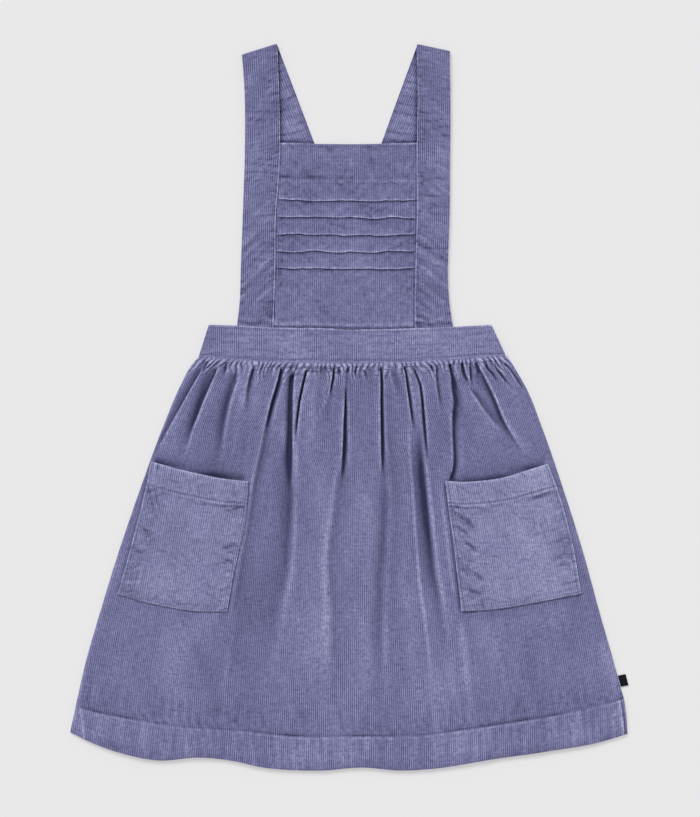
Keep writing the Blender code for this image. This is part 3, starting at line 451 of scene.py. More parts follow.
WAIST_SEAM = Outline(
    ((-134, 44.6), (-99.7, 41.7), (-61, 39.8), (-11.7, 38.7), (27.9, 39), (67.1, 40.6), (106.2, 43.1),
     (139.7, 45.3))
)
BAND_TOP = Outline(
    ((-123.5, 72), (-97.9, 71.3), (-67.1, 69.6), (-29.3, 69.2), (-2, 68.4), (27.9, 68.1), (58.7, 69.1),
     (82.5, 69.8), (125, 72))
)
HEM_EDGE = Outline(
    ((-245.3, -286), (-221, -296.5), (-193, -305.4), (-164.8, -310.6), (-129.6, -308), (-101.5, -310.8),
     (-73.3, -316.8), (-45.1, -319.2), (-22, -319.4), (11.2, -316.8), (46, -319.4), (72, -318),
     (123.8, -309.8), (173.1, -302.7), (222.4, -293.9), (244.4, -287.2))
)
HEM_SEAM = Outline(
    ((-245.3, -261), (-233, -265), (-197.8, -272.8), (-149.9, -280.7), (-92.2, -284.9), (-47.3, -289.3),
     (10.3, -289.1), (58.3, -289), (99.8, -283.6), (138.2, -277.8), (186.3, -269.8), (236, -257.6),
     (244.4, -255))
)
SKIRT_LEFT = Outline(
    ((-252, -325), (-245.4, -286), (-242.3, -271.6), (-239.2, -257), (-236.8, -246), (-233.5, -231.4),
     (-218.5, -178.6), (-202.3, -126), (-184.2, -73), (-164.8, -20.2), (-148.1, 19.4), (-140.5, 34),
     (-131, 46))
)
SKIRT_RIGHT = Outline(
    ((249.3, -325), (244.4, -286), (243.4, -271.6), (241.4, -257), (238.3, -246), (234.4, -231.4),
     (219.4, -178.6), (205, -126), (188.3, -73), (170.1, -20.2), (154.1, 19.4), (145.6, 34), (137.8, 46))
)
# How far the front skirt stands off the back one: (y, height).
FRONT_CROWN = (
    (46.0, 1.2), (30.0, 4.2), (0.0, 5.6), (-60.0, 4.8), (-150.0, 3.2), (-250.0, 2.2), (-325.0, 1.8),
)


@dataclass
class Face:
    """One face of a wall of cloth, as a grid of points in rows.

    Cloth holds each point's place on the flat cut, across the wales and along them. Wear is above 0 where the
    pile is rubbed pale and where a highlight is painted, and below 0 where the pile stays deep and where
    shade is painted. First and last are the columns that a row starts and ends with: the wales beyond them
    have run off the cut's edge.
    """

    points: Array
    cloth: Array
    wear_light_and_shade: Array
    first: Array
    last: Array

    def indices(self, start: int) -> Array:
        """Vertex numbers of the grid, where the columns past a row's ends fall on its ends."""
        rows, columns = self.points.shape[:2]
        places = np.clip(np.arange(columns)[None, :], self.first[:, None], self.last[:, None])
        return start + np.arange(rows)[:, None] * columns + places


def plain_face(points: Array, cloth: Array | None = None) -> Face:
    """A face with no wales, whose rows all have their whole width. With no cut given, its plan serves."""
    rows, columns = points.shape[:2]
    cloth = points[..., :2] if cloth is None else cloth
    return Face(points, cloth, np.zeros((rows, columns)), np.zeros(rows, int), np.full(rows, columns - 1))


def grid_faces(index: Array, turned: bool) -> list[tuple[int, ...]]:
    """Faces over a grid of vertex numbers.

    Args:
        index: The vertex numbers, by row and column.
        turned: True for a face that looks down.

    Returns:
        Quads, and triangles where a column has run out.
    """
    a, b = index[:-1, :-1].ravel(), index[:-1, 1:].ravel()
    d, c = index[1:, :-1].ravel(), index[1:, 1:].ravel()
    above, below = a != b, d != c
    whole = above & below
    faces = np.stack([a, d, c, b], axis=1)[whole].tolist()
    faces += np.stack([a, d, c], axis=1)[below & ~above].tolist()
    faces += np.stack([a, d, b], axis=1)[above & ~below].tolist()
    return [face[::-1] for face in faces] if turned else faces


def rim_faces(first: Array, second: Array, turned: bool) -> list[tuple[int, ...]]:
    """Triangles between two edges of a wall, which may have different counts of points.

    Args:
        first: Vertex numbers along the upper face's edge.
        second: Vertex numbers along the lower face's edge.
        turned: True for the left and the last edge, whose faces turn the other way round.

    Returns:
        The triangles.
    """
    edges = (edge[np.concatenate([[True], edge[1:] != edge[:-1]])].tolist() for edge in (first, second))
    first, second = edges
    faces, i, j = [], 0, 0
    while i < len(first) - 1 or j < len(second) - 1:
        next_i = (i + 1) / (len(first) - 1) if i < len(first) - 1 else 2.0
        next_j = (j + 1) / (len(second) - 1) if j < len(second) - 1 else 2.0
        if next_i <= next_j:
            faces.append([first[i], first[i + 1], second[j]])
            i += 1
        else:
            faces.append([first[i], second[j + 1], second[j]])
            j += 1
    return [face[::-1] for face in faces] if turned else faces


def link_mesh(name: str, vertices: Array, faces: list, material: Material) -> Piece:
    """A new object at the origin from points in millimetres."""
    mesh = bpy.data.meshes.new(name)
    mesh.from_pydata((vertices * MM).tolist(), [], faces)
    mesh.materials.append(material)
    mesh.shade_smooth()
    piece = bpy.data.objects.new(name, mesh)
    bpy.context.scene.collection.objects.link(piece)
    return piece


@dataclass
class Wall:
    """A closed wall of cloth between an upper and a lower face."""

    name: str
    upper: Face
    lower: Face

    SHARP = math.radians(62.0)

    def build(self, material: Material) -> Piece:
        """Makes the wall's mesh.

        Args:
            material: The cloth's finish.

        Returns:
            The piece, with its "cloth" map in metres and its attribute of rubbed paleness and painted light
            and shade.
        """
        upper = self.upper.indices(0)
        lower = self.lower.indices(self.upper.wear_light_and_shade.size)
        faces = grid_faces(upper, False) + grid_faces(lower, True)
        faces += rim_faces(upper[0], lower[0], False) + rim_faces(upper[-1], lower[-1], True)
        faces += rim_faces(upper[:, 0], lower[:, 0], True) + rim_faces(upper[:, -1], lower[:, -1], False)
        points = np.concatenate([face.points.reshape(-1, 3) for face in (self.upper, self.lower)])
        cloth = np.concatenate([face.cloth.reshape(-1, 2) for face in (self.upper, self.lower)])
        wear_light_and_shade = np.concatenate([face.wear_light_and_shade.ravel() for face in (self.upper, self.lower)])
        used = np.zeros(len(points), bool)
        used[np.fromiter((corner for face in faces for corner in face), int)] = True
        renumber = np.cumsum(used) - 1
        faces = [[renumber[corner] for corner in face] for face in faces]
        points, cloth, wear_light_and_shade = points[used], cloth[used], wear_light_and_shade[used]
        if self._volume(points, faces) < 0.0:
            faces = [face[::-1] for face in faces]
        piece = link_mesh(self.name, points, faces, material)
        mesh = piece.data
        corners = np.empty(len(mesh.loops), np.int32)
        mesh.loops.foreach_get("vertex_index", corners)
        spots = (cloth[corners] * MM).astype(np.float32).ravel()
        mesh.uv_layers.new(name="cloth").data.foreach_set("uv", spots)
        mesh.attributes.new("wear_light_and_shade", "FLOAT", "POINT").data.foreach_set("value", wear_light_and_shade.astype(np.float32))
        mesh.set_sharp_from_angle(angle=self.SHARP)
        return piece

    @staticmethod
    def _volume(points: Array, faces: list) -> float:
        """The volume inside the faces, which is negative where they look inwards."""
        corners = [(face[0], face[i], face[i + 1]) for face in faces for i in range(1, len(face) - 1)]
        triangles = points[np.array(corners)]
        return float(np.einsum("ij,ij->i", triangles[:, 0], np.cross(triangles[:, 1], triangles[:, 2])).sum())


@dataclass
class Columns:
    """The columns of a corded face: where they cross each row, as shares of the row's fine places."""

    share: Array
    cloth: Array
    first: Array
    last: Array

    def face(self, points: Array, along: Array, wear_light_and_shade: Array, way: Way, depth: float = WALE_DEPTH) -> Face:
        """Makes the corded face over these columns.

        Args:
            points: The face's smooth grid of points.
            along: Each point's place along the wales.
            wear_light_and_shade: Each point's rubbed paleness and painted light and shade.
            way: Which way the face looks from its rows and columns.
            depth: How deep the grooves between the wales are.

        Returns:
            The face, with its grooves sunk.
        """
        cloth = grid_points(self.cloth, along, 0.0)[..., :2]
        return Face(sink_grooves(points, self.cloth, way, depth), cloth, wear_light_and_shade, self.first, self.last)


def lay_columns(fine: Array, cloth_rows: Sequence[Array]) -> Columns:
    """Lays the columns of a face along its wales.

    Args:
        fine: Fine places across a row, from 0 to 1.
        cloth_rows: For each row, the place on the flat cut at each fine place, rising.

    Returns:
        The columns. A crest lies on every whole multiple of the wale's width.
    """
    lowest = math.floor(min(row[0] for row in cloth_rows) / STEP)
    highest = math.ceil(max(row[-1] for row in cloth_rows) / STEP)
    marks = np.arange(lowest, highest + 1) * STEP
    share, cloth, first, last = [], [], [], []
    for row in cloth_rows:
        places = np.clip(marks, row[0], row[-1])
        share.append(np.interp(places, row, fine))
        cloth.append(places)
        first.append(np.searchsorted(marks, row[0], side="right") - 1)
        last.append(np.searchsorted(marks, row[-1], side="left"))
    return Columns(np.array(share), np.array(cloth), np.array(first), np.array(last))


def sink_grooves(points: Array, cloth_across: Array, way: Way, depth: float = WALE_DEPTH) -> Array:
    """Sinks the grooves between the wales into the cloth.

    Args:
        points: The face's smooth grid of points.
        cloth_across: Each point's place across the wales.
        way: Which way the face looks from its rows and columns.
        depth: How deep the grooves are where the cloth lies open.

    Returns:
        The points, where the crests keep their place.
    """
    across, down = np.gradient(points, axis=1), np.gradient(points, axis=0)
    normal = np.cross(down, across) * way.value
    length = np.linalg.norm(normal, axis=2, keepdims=True)
    normal = np.where(length > 1e-9, normal / np.maximum(length, 1e-9), (0.0, 0.0, way.value))
    open_share = np.clip(np.linalg.norm(across, axis=2) / STEP, 0.0, 1.0)
    off_crest = np.abs(cloth_across / WALE - np.round(cloth_across / WALE))
    sink = depth * open_share * 4.0 * off_crest**2
    return points - normal * sink[..., None]


def grid_points(x: Array, y: Array, z: Array) -> Array:
    """A grid of points from its coordinates."""
    return np.stack(np.broadcast_arrays(x, y, z), axis=-1)


class Grain(NamedTuple):
    """One noise of a finish: blots to the metre across the wales and along them, and its share."""

    across: float
    along: float
    share: float
    detail: float = 1.0


class Bench:
    """Adds and joins the nodes of one material."""

    def __init__(self, name: str) -> None:
        """Starts a material with its shader and its output.

        Args:
            name: The material's name.
        """
        self.material = bpy.data.materials.new(name)
        self.material.use_nodes = True
        self.nodes = self.material.node_tree.nodes
        self.links = self.material.node_tree.links
        self.shader = self.nodes["Principled BSDF"]

    def add(self, kind: str, **settings: object) -> bpy.types.Node:
        """A new node with its properties set."""
        node = self.nodes.new(kind)
        for name, value in settings.items():
            setattr(node, name, value)
        return node

    def feed(self, socket: Socket, value: object) -> None:
        """Joins an output to a socket, or sets the socket's own value."""
        if isinstance(value, Socket):
            self.links.new(value, socket)
        else:
            socket.default_value = value

    def dial(self, values: dict[str, object]) -> None:
        """Joins or sets the shader's inputs."""
        for name, value in values.items():
            self.feed(self.shader.inputs[name], value)

    def math(self, operation: str, first: object, second: object = 0.0, clamp: bool = False) -> Socket:
        """One step of arithmetic."""
        node = self.add("ShaderNodeMath", operation=operation, use_clamp=clamp)
        self.feed(node.inputs[0], first)
        self.feed(node.inputs[1], second)
        return node.outputs[0]

    def plus(self, first: object, second: object) -> Socket:
        """The sum of two values."""
        return self.math("ADD", first, second)

    def times(self, first: object, second: object, clamp: bool = False) -> Socket:
        """The product of two values, kept from 0 to 1 where it is clamped."""
        return self.math("MULTIPLY", first, second, clamp)

    def blend(self, share: object, first: object, second: object, how: str = "MIX") -> Socket:
        """A mix of two colours."""
        node = self.add("ShaderNodeMix", data_type="RGBA", blend_type=how)
        for socket, value in zip((node.inputs[0], node.inputs[6], node.inputs[7]), (share, first, second)):
            self.feed(socket, value)
        return node.outputs[2]

    def cloth_map(self) -> tuple[Socket, Sequence[Socket]]:
        """The pieces' cloth map, whole and as its axes."""
        cloth = self.add("ShaderNodeUVMap", uv_map="cloth").outputs[0]
        axes = self.add("ShaderNodeSeparateXYZ")
        self.feed(axes.inputs[0], cloth)
        return cloth, axes.outputs

    def centred_noise(self, vector: object, grain: Grain) -> Socket:
        """Noise over the cloth about 0, whose whole swing is the grain's share each way."""
        mapping = self.add("ShaderNodeMapping")
        mapping.inputs["Scale"].default_value = (grain.across, grain.along, 1.0)
        self.feed(mapping.inputs["Vector"], vector)
        node = self.add("ShaderNodeTexNoise")
        node.inputs["Scale"].default_value = 1.0
        node.inputs["Detail"].default_value = grain.detail
        self.feed(node.inputs["Vector"], mapping.outputs[0])
        return self.times(self.math("SUBTRACT", node.outputs[0], 0.5), 2.0 * grain.share)

    def bump(self, height: object, distance: float, strength: float = 1.0) -> None:
        """Fine relief on the shader's normal."""
        node = self.add("ShaderNodeBump")
        node.inputs["Strength"].default_value = strength
        node.inputs["Distance"].default_value = distance
        self.feed(node.inputs["Height"], height)
        self.links.new(node.outputs[0], self.shader.inputs["Normal"])


def opaque(colour: Colour) -> tuple[float, float, float, float]:
    """A colour with its alpha."""
    return (*colour, 1.0)


@dataclass(frozen=True)
class CorduroyFinish:
    """Dyed and washed cotton corduroy: pale crests, deep grooves, an uneven pile and rubbed edges, with the
    light and shade painted through the pieces' attribute.
    """

    name: str
    crest: Colour
    groove: Colour
    faded_and_lit: Colour
    deep: Colour
    grains: tuple[Grain, ...] = (
        Grain(1500.0, 1050.0, 0.4),
        Grain(600.0, 330.0, 0.36),
        Grain(150.0, 600.0, 0.3),
        Grain(250.0, 190.0, 0.21),
        Grain(95.0, 70.0, 0.09),
        Grain(540.0, 34.0, 0.16),
    )
    fading: Grain = Grain(17.0, 11.0, 0.42, 2.0)
    warp: Grain = Grain(60.0, 26.0, 0.5)
    speckle: float = 2.2
    blue_share: float = 0.8
    relief: float = 0.00025
    crinkle_relief: float = 0.00045
    roughness: float = 0.92
    sheen: float = 0.2
    sheen_roughness: float = 0.5
    sheen_tint: Colour = (0.72, 0.72, 0.9)
    gloss: float = 0.15

    def material(self) -> Material:
        """Builds the finish on the pieces' cloth map and their attribute of rubbed paleness and painted light
        and shade.

        Returns:
            The material.
        """
        bench = Bench(self.name)
        cloth, axes = bench.cloth_map()
        shift = bench.times(bench.centred_noise(cloth, self.warp), TURN)
        turns = bench.plus(bench.times(axes[0], TURN / (WALE * MM)), shift)
        crest = bench.plus(bench.times(bench.math("COSINE", turns), 0.5), 0.5)
        colour = bench.blend(crest, opaque(self.groove), opaque(self.crest))
        noises = [bench.centred_noise(cloth, grain) for grain in self.grains]
        swing: object = 0.0
        for noise in noises:
            swing = bench.plus(swing, noise)
        # The pieces' attribute carries rubbed paleness together with painted light and shade: above 0 it
        # mixes in the pale colour, which in places is a painted highlight, and below 0 the deep colour, which
        # in places is painted shade.
        worn_and_shaded = bench.add("ShaderNodeAttribute", attribute_name="wear_light_and_shade").outputs["Fac"]
        worn_and_shaded = bench.plus(worn_and_shaded, bench.centred_noise(cloth, self.fading))
        rubbed = bench.times(worn_and_shaded, bench.plus(bench.times(noises[1], self.speckle), 1.0), clamp=True)
        deep_and_shaded = bench.times(worn_and_shaded, -1.0, clamp=True)
        colour = bench.blend(rubbed, colour, opaque(self.faded_and_lit))
        colour = bench.blend(deep_and_shaded, colour, opaque(self.deep))
        shade = bench.add("ShaderNodeCombineXYZ")
        for socket, share in zip(shade.inputs, (1.0, 1.0, self.blue_share)):
            bench.feed(socket, bench.plus(bench.times(swing, share), 1.0))
        bench.dial({
            "Base Color": bench.blend(1.0, colour, shade.outputs[0], "MULTIPLY"),
            "Roughness": self.roughness, "Specular IOR Level": self.gloss, "Sheen Weight": self.sheen,
            "Sheen Roughness": self.sheen_roughness, "Sheen Tint": opaque(self.sheen_tint),
        })
        crinkle = bench.times(bench.plus(noises[2], noises[3]), self.crinkle_relief / self.relief)
        bench.bump(bench.plus(crinkle, bench.plus(noises[0], noises[1])), self.relief)
        return bench.material


@dataclass(frozen=True)
class ThreadFinish:
    """Sewing thread in the cloth's own colour, with its twist."""

    name: str
    colour: Colour
    dark: Colour
    twists: float = 900.0
    roughness: float = 0.65
    relief: float = 0.00008

    def material(self) -> Material:
        """Builds the finish on object coordinates.

        Returns:
            The material.
        """
        bench = Bench(self.name)
        twist = bench.add("ShaderNodeTexWave", bands_direction="DIAGONAL")
        twist.inputs["Scale"].default_value = self.twists
        bench.feed(twist.inputs["Vector"], bench.add("ShaderNodeTexCoord").outputs["Object"])
        twist = twist.outputs["Fac"]
        colour = bench.blend(twist, opaque(self.dark), opaque(self.colour))
        bench.dial({"Base Color": colour, "Roughness": self.roughness})
        bench.bump(twist, self.relief)
        return bench.material


@dataclass(frozen=True)
class TapeFinish:
    """Woven navy tape with fine ribs across it."""

    name: str
    colour: Colour
    rib: Colour
    ribs: float = 2200.0
    roughness: float = 0.7
    gloss: float = 0.12
    relief: float = 0.00012

    def material(self) -> Material:
        """Builds the finish on the tape's cloth map.

        Returns:
            The material.
        """
        bench = Bench(self.name)
        axes = bench.cloth_map()[1]
        waves = [bench.math("SINE", bench.times(axis, TURN * self.ribs)) for axis in axes[:2]]
        weave = bench.math("MULTIPLY_ADD", bench.times(*waves), 0.5)
        weave.node.inputs[2].default_value = 0.5
        colour = bench.blend(weave, opaque(self.colour), opaque(self.rib))
        bench.dial({"Base Color": colour, "Roughness": self.roughness, "Specular IOR Level": self.gloss})
        bench.bump(weave, self.relief)
        return bench.material


def dress(piece: Piece, slot: Slot, *nodes: str) -> Piece:
    """Puts a piece on the part's body, in place of its CAD nodes."""
    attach(piece, ROOT)
    if nodes:
        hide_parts(*nodes)
    return piece


def report(piece: Piece) -> None:
    """Reports a finished piece."""
    LOG.info("%s: %d faces", piece.name, len(piece.data.polygons))


class PocketCut(NamedTuple):
    """A pocket's edges: mouth and foot from left to right, sides from the mouth down."""

    mouth: Outline
    foot: Outline
    left: Outline
    right: Outline


LEFT_POCKET = PocketCut(
    mouth=Outline(((-174.2, -47.7), (-151.0, -54.0), (-132.9, -58.3), (-112.6, -62.4), (-88.4, -65.2))),
    foot=Outline(((-203.5, -164.4), (-178.5, -171.6), (-153.0, -176.8), (-130.0, -179.6), (-107.4, -179.6))),
    left=Outline(((-174.2, -47.7), (-179.3, -73.5), (-190.3, -117.0), (-203.5, -164.4))),
    right=Outline(((-88.4, -65.2), (-90.4, -95.0), (-99.5, -138.0), (-107.4, -179.6))),
)
RIGHT_POCKET = PocketCut(
    mouth=Outline(((84.0, -64.6), (99.0, -65.6), (115.9, -64.6), (136.0, -61.6), (156.0, -55.4),
                   (174.4, -49.7))),
    foot=Outline(((98.6, -179.3), (125.9, -177.8), (166.3, -171.2), (203.7, -163.8))),
    left=Outline(((84.0, -64.6), (87.4, -90.0), (92.0, -125.0), (98.6, -179.3))),
    right=Outline(((174.4, -49.7), (182.5, -71.3), (194.7, -113.5), (203.7, -163.8))),
)


@dataclass
class SkirtForm:
    """The skirt's outline and the heights of its two panels."""

    seam_to_hem_seam: float = 328.0
    drop: float = 356.0
    middle: float = 0.5
    cut_waist: float = 434.0
    cut_hem: float = 496.0
    pinch: float = 0.3
    pinch_reach: float = 3.0
    crown_reach: float = 17.0
    edge_reach: float = 5.0
    edge_rounding: float = 0.7
    crown_softness: float = 0.35
    seam_hold: float = 9.0
    seam_share: float = 0.25
    back_share: float = 0.5
    groove_start: float = 0.12
    fold_reach: float = 13.0
    open_share: float = 0.07
    # The puckers that the gathers leave, over the whole width of the skirt
    puckers: float = 38.0
    pucker_height: float = 1.8
    pucker_fade: float = 10.0
    pucker_swing: Rows = ((0.55, 3.1, 0.2), (0.3, 7.7, 0.6))
    pucker_size: Rows = ((0.25, 5.3, 0.1),)
    pucker_hiding: float = 0.7
    fine_puckers: float = 60.0
    fine_height: float = 2.4
    fine_fade: float = 10.5
    fine_fades: Rows = ((0.35, 13.7, 0.2), (0.25, 29.0, 0.7))
    fine_swing: Rows = ((0.2, 11.3, 0.35), (0.2, 4.7, 0.0), (0.06, 27.0, 0.2))
    fine_lean: Rows = ((0.08, 3.7, 0.1),)
    # The turned hem: its step, its seam's line and the slanting ropes on both sides of the seam
    hem_step: float = 0.5
    hem_ropes: float = 9.5
    rope_reach: Rows = ((1.0, 3.5, 5.0), (0.9, -6.5, 6.0))
    seam_lips: Rows = ((0.3, 3.0, 1.8), (0.25, -1.6, 1.0))
    # Painted light on the crests and painted shade in the hollows, by how far the cloth stands above its
    # neighbourhood: the reaches over which they show, in fine places, and each one's strength and swing
    lip_light_and_shade: Rows = ((0.4, 1.8, 0.6), (0.5, 1.1, 0.4))
    lip_reaches: tuple[float, float] = (26.0, 9.0)
    ripples: tuple[Ripples, ...] = (
        Ripples(seed=3, height=0.22, across=40.0, down=70.0),
        Ripples(seed=8, height=0.08, across=11.0, down=30.0, waves=15),
    )

    FINE = np.linspace(0.0, 1.0, 2401)

    def area(self) -> float:
        """A panel's flat area in square metres."""
        return 0.5 * (self.cut_waist + self.cut_hem) * self.drop * MM * MM

    def columns(self, rows: Array, top: Callable, creases: Sequence[Crease]) -> Columns:
        """The columns of a panel with these rows, this height and these folds."""
        return lay_columns(self.FINE, [self.cloth_across(drop, top, creases) for drop in rows])

    def place(self, u: Array, drop: Array) -> tuple[Array, Array]:
        """Points of the skirt in plan.

        Args:
            u: From 0 at the left edge to 1 at the right one.
            drop: How far down the cut, from 0 at the waist seam.

        Returns:
            Their x and y. The rows follow the waist seam, the hem's seam and the hem's edge.
        """
        seam = WAIST_SEAM.y_at(WAIST_SEAM.along(u))
        hem_seam, hem = HEM_SEAM.y_at(HEM_SEAM.along(u)), HEM_EDGE.y_at(HEM_EDGE.along(u))
        above = np.clip(drop / self.seam_to_hem_seam, 0.0, 1.0)
        below = np.clip((drop - self.seam_to_hem_seam) / (self.drop - self.seam_to_hem_seam), 0.0, 1.0)
        y = seam + above * (hem_seam - seam) + below * (hem - hem_seam)
        left, right = SKIRT_LEFT.x_at(y), SKIRT_RIGHT.x_at(y)
        return left + u * (right - left), y

    def share(self, x: Array, y: Array) -> Array:
        """How far across the skirt a point lies, from 0 to 1."""
        left, right = SKIRT_LEFT.x_at(y), SKIRT_RIGHT.x_at(y)
        return (x - left) / (right - left)

    def inset(self, x: Array, y: Array) -> Array:
        """How far a point lies in from the nearer side edge."""
        return np.maximum(np.minimum(x - SKIRT_LEFT.x_at(y), SKIRT_RIGHT.x_at(y) - x), 0.0)

    def below_seam(self, u: Array, y: Array) -> Array:
        """How far a point lies below the waist seam."""
        return np.maximum(WAIST_SEAM.y_at(WAIST_SEAM.along(u)) - y, 0.0)

    def gathers(self, u: Array, y: Array) -> Array:
        """Height of the puckers that stand just below the waist seam and fade down the skirt."""
        below = self.below_seam(u, y)
        size = 0.75 + uneven(u, self.pucker_size)
        lobes = 0.5 + 0.5 * np.cos(TURN * (self.puckers * u + uneven(u, self.pucker_swing)))
        grow = 0.3 + 0.7 * smoothstep(below / 6.0)
        coarse = self.pucker_height * size * grow * lobes * np.exp(-((below / self.pucker_fade) ** 1.4))
        return coarse + self.fine_height * self.fine_lips(u, below)

    def fine_lips(self, u: Array, below: Array) -> Array:
        """The close puckers at the seam: rounded lips with narrow valleys, each leaning its own way."""
        turns = self.fine_puckers * u + uneven(u, self.fine_swing) + below * uneven(u, self.fine_lean)
        turns = turns + 0.16 * np.sin(below / 2.3 + TURN * 7.0 * u)
        size = 0.78 + 0.22 * wave(17.0 * u + 0.4) * wave(2.9 * u + 0.2)
        knots = 1.0 - 0.35 * near(np.sin(TURN * (below / 9.0 + 5.3 * u) + wave(9.0 * u)), 0.35)
        return size * knots * np.abs(np.sin(math.pi * turns)) ** 0.8 * self.lip_fade(u, below)

    def lip_fade(self, u: Array, below: Array) -> Array:
        """How much of the close puckers is left this far below the seam."""
        fade = self.fine_fade * (1.0 + uneven(u, self.fine_fades))
        return np.exp(-((below / fade) ** 2.4))

    def pinched(self, u: Array, y: Array) -> Array:
        """How far the cloth has come up out of the waist seam, which holds it flat."""
        return self.pinch + (1.0 - self.pinch) * smoothstep(self.below_seam(u, y) / self.pinch_reach)

    def back_floor(self, x: Array, y: Array, u: Array) -> Array:
        """Underside of the back panel: on the surface, but for the grooves of its gathers."""
        height = self.back_share * self.gathers(u, y) + sum(crease.height(x, y) for crease in BACK_CREASES)
        height = np.maximum(height - self.groove_start, 0.0) * self.pinched(u, y)
        return height * smoothstep(self.inset(x, y) / self.crown_reach)

    def front_top(self, x: Array, y: Array, u: Array, creases: Sequence[Crease] = FRONT_CREASES) -> Array:
        """Height of the crests of the front panel, over the back one.

        Args:
            x: Places across.
            y: Places down.
            u: Shares of the way across.
            creases: The folds to count, where a pocket bridges the others.

        Returns:
            The heights.
        """
        edge = self.inset(x, y)
        crown = np.interp(-y, [-row[0] for row in FRONT_CROWN], [row[1] for row in FRONT_CROWN])
        crown = crown * (1.0 - np.exp(-edge / self.crown_reach))
        relief = sum(crease.height(x, y) for crease in creases) + sum(row.at(x, y) for row in self.ripples)
        held = self.seam_share + (1.0 - self.seam_share) * smoothstep(self.below_seam(u, y) / self.seam_hold)
        rise = crown + held * relief * smoothstep(edge / self.edge_reach) + self.gathers(u, y)
        rise = 0.5 * (rise + np.sqrt(rise * rise + self.crown_softness))
        rise = rise * self.pinched(u, y)
        under = self.back_floor(x, y, u) + SKIRT_CLOTH + SEAM_GAP
        return under + SKIRT_CLOTH + rise + self.hem_relief(x, y) - self.edge_rounding * near(edge, 0.8)

    @staticmethod
    def hem_pull(x: Array) -> Array:
        """How hard the hem's seam pulls, from place to place."""
        pull = 0.72 + 0.34 * np.sin(x / 17.0 + 1.6 * np.sin(x / 41.0)) + 0.16 * np.sin(x / 4.6)
        return np.clip(pull, 0.15, 1.2)

    def hem_relief(self, x: Array, y: Array) -> Array:
        """The turned hem's step, the sunk line of its seam and the ropes that the seam pulls up."""
        above = y - HEM_SEAM.y_at(x)
        ropes = wave(x / self.hem_ropes + above / 14.0 + 0.6 * np.sin(x / 23.0))
        ropes = ropes * (0.16 + 0.12 * np.sin(x / 31.0)) * marked(above, self.rope_reach)
        seam = 0.85 * self.hem_pull(x) * near(above - 0.4, 0.8) - marked(above, self.seam_lips)
        edge = 0.9 * near(y - HEM_EDGE.y_at(x), 1.4)
        return self.hem_step * smoothstep(0.5 - above / 1.6) - seam + ropes - edge

    def hidden(self, x: Array, y: Array, u: Array, creases: Sequence[Crease]) -> Array:
        """How much cloth the folds and puckers take out of sight, by place."""
        below = self.below_seam(u, y)
        puckers = self.pucker_hiding * np.exp(-((below / self.pucker_fade) ** 1.6))
        return sum(crease.hidden(x, y) for crease in creases) + puckers

    def cloth_across(self, drop: float, top: Callable, creases: Sequence[Crease]) -> Array:
        """The cut cloth across one row, at the fine places.

        What the row's own length doesn't take up lies in the folds nearby, so that the wales keep their
        run down the panels between the folds.

        Args:
            drop: The row's place down the cut.
            top: The panel's height by x, y and u.
            creases: The panel's folds.

        Returns:
            Places on the flat cut, with 0 on the middle line.
        """
        x, y = self.place(self.FINE, drop)
        z = top(x, y, self.FINE)
        length = np.sqrt(np.diff(x) ** 2 + np.diff(y) ** 2 + np.diff(z) ** 2)
        density = self.hidden(x, y, self.FINE, creases) + self.open_share
        share = density / self._smoothed(density, self.fold_reach * len(x) / (x[-1] - x[0]))
        weight = 0.5 * (share[1:] + share[:-1]) * np.diff(x)
        half_cut = 0.5 * (self.cut_waist + (self.cut_hem - self.cut_waist) * drop / self.drop)
        left = x[1:] <= self.middle
        for side in (left, ~left):
            spare = half_cut - length[side].sum()
            if spare > 0.0:
                length[side] += spare * weight[side] / weight[side].sum()
            else:
                length[side] *= half_cut / length[side].sum()
        return np.concatenate([[0.0], np.cumsum(length)]) - length[left].sum()

    @staticmethod
    def _smoothed(values: Array, reach: float) -> Array:
        """Values smoothed along their last axis over about this many places."""
        half = max(1, round(2.2 * reach))
        window = np.exp(-((np.arange(-half, half + 1) / reach) ** 2))
        window /= window.sum()
        padding = [(0, 0)] * (values.ndim - 1) + [(half, half)]
        padded = np.pad(values, padding, mode="reflect")
        return np.apply_along_axis(np.convolve, -1, padded, window, mode="valid")

    def wear_light_and_shade(self, drops: Array) -> Array:
        """Painted highlights on the lips and crests and painted shade in the valleys, from how far the crests
        stand above their neighbourhood, with the close puckers' painted light and shade and the folds'
        painted shade and pale crest lines.

        Args:
            drops: The rows' places down the cut.

        Returns:
            The painted light and shade of each row at the fine places.
        """
        fine = self.FINE[None, :]
        x, y = self.place(fine, drops[:, None])
        z = self.front_top(x, y, fine)
        worn_and_shaded = 0.0
        for reach, (strength, swing, most) in zip(self.lip_reaches, self.lip_light_and_shade):
            worn_and_shaded = worn_and_shaded + strength * np.clip((z - self._smoothed(z, reach)) / swing, -1.0, most)
        below = self.below_seam(fine, y)
        # Painted highlights on the close puckers' lips and painted shade between them.
        lips = 1.18 * (self.fine_lips(fine, below) - 0.22 * self.lip_fade(fine, below))
        lips = lips * smoothstep(0.4 + below / 3.0)
        return worn_and_shaded + lips + sum(crease.shade(x, y) for crease in FRONT_CREASES)


def rows_between(*stretches: tuple[float, float, float]) -> Array:
    """Places of rows: each stretch has a start, an end and the spacing between its rows."""
    places = []
    for start, end, spacing in stretches:
        places.append(np.linspace(start, end, max(2, round((end - start) / spacing) + 1)))
    joined = np.concatenate(places)
    return joined[np.concatenate([[True], np.diff(joined) > 1e-6])]


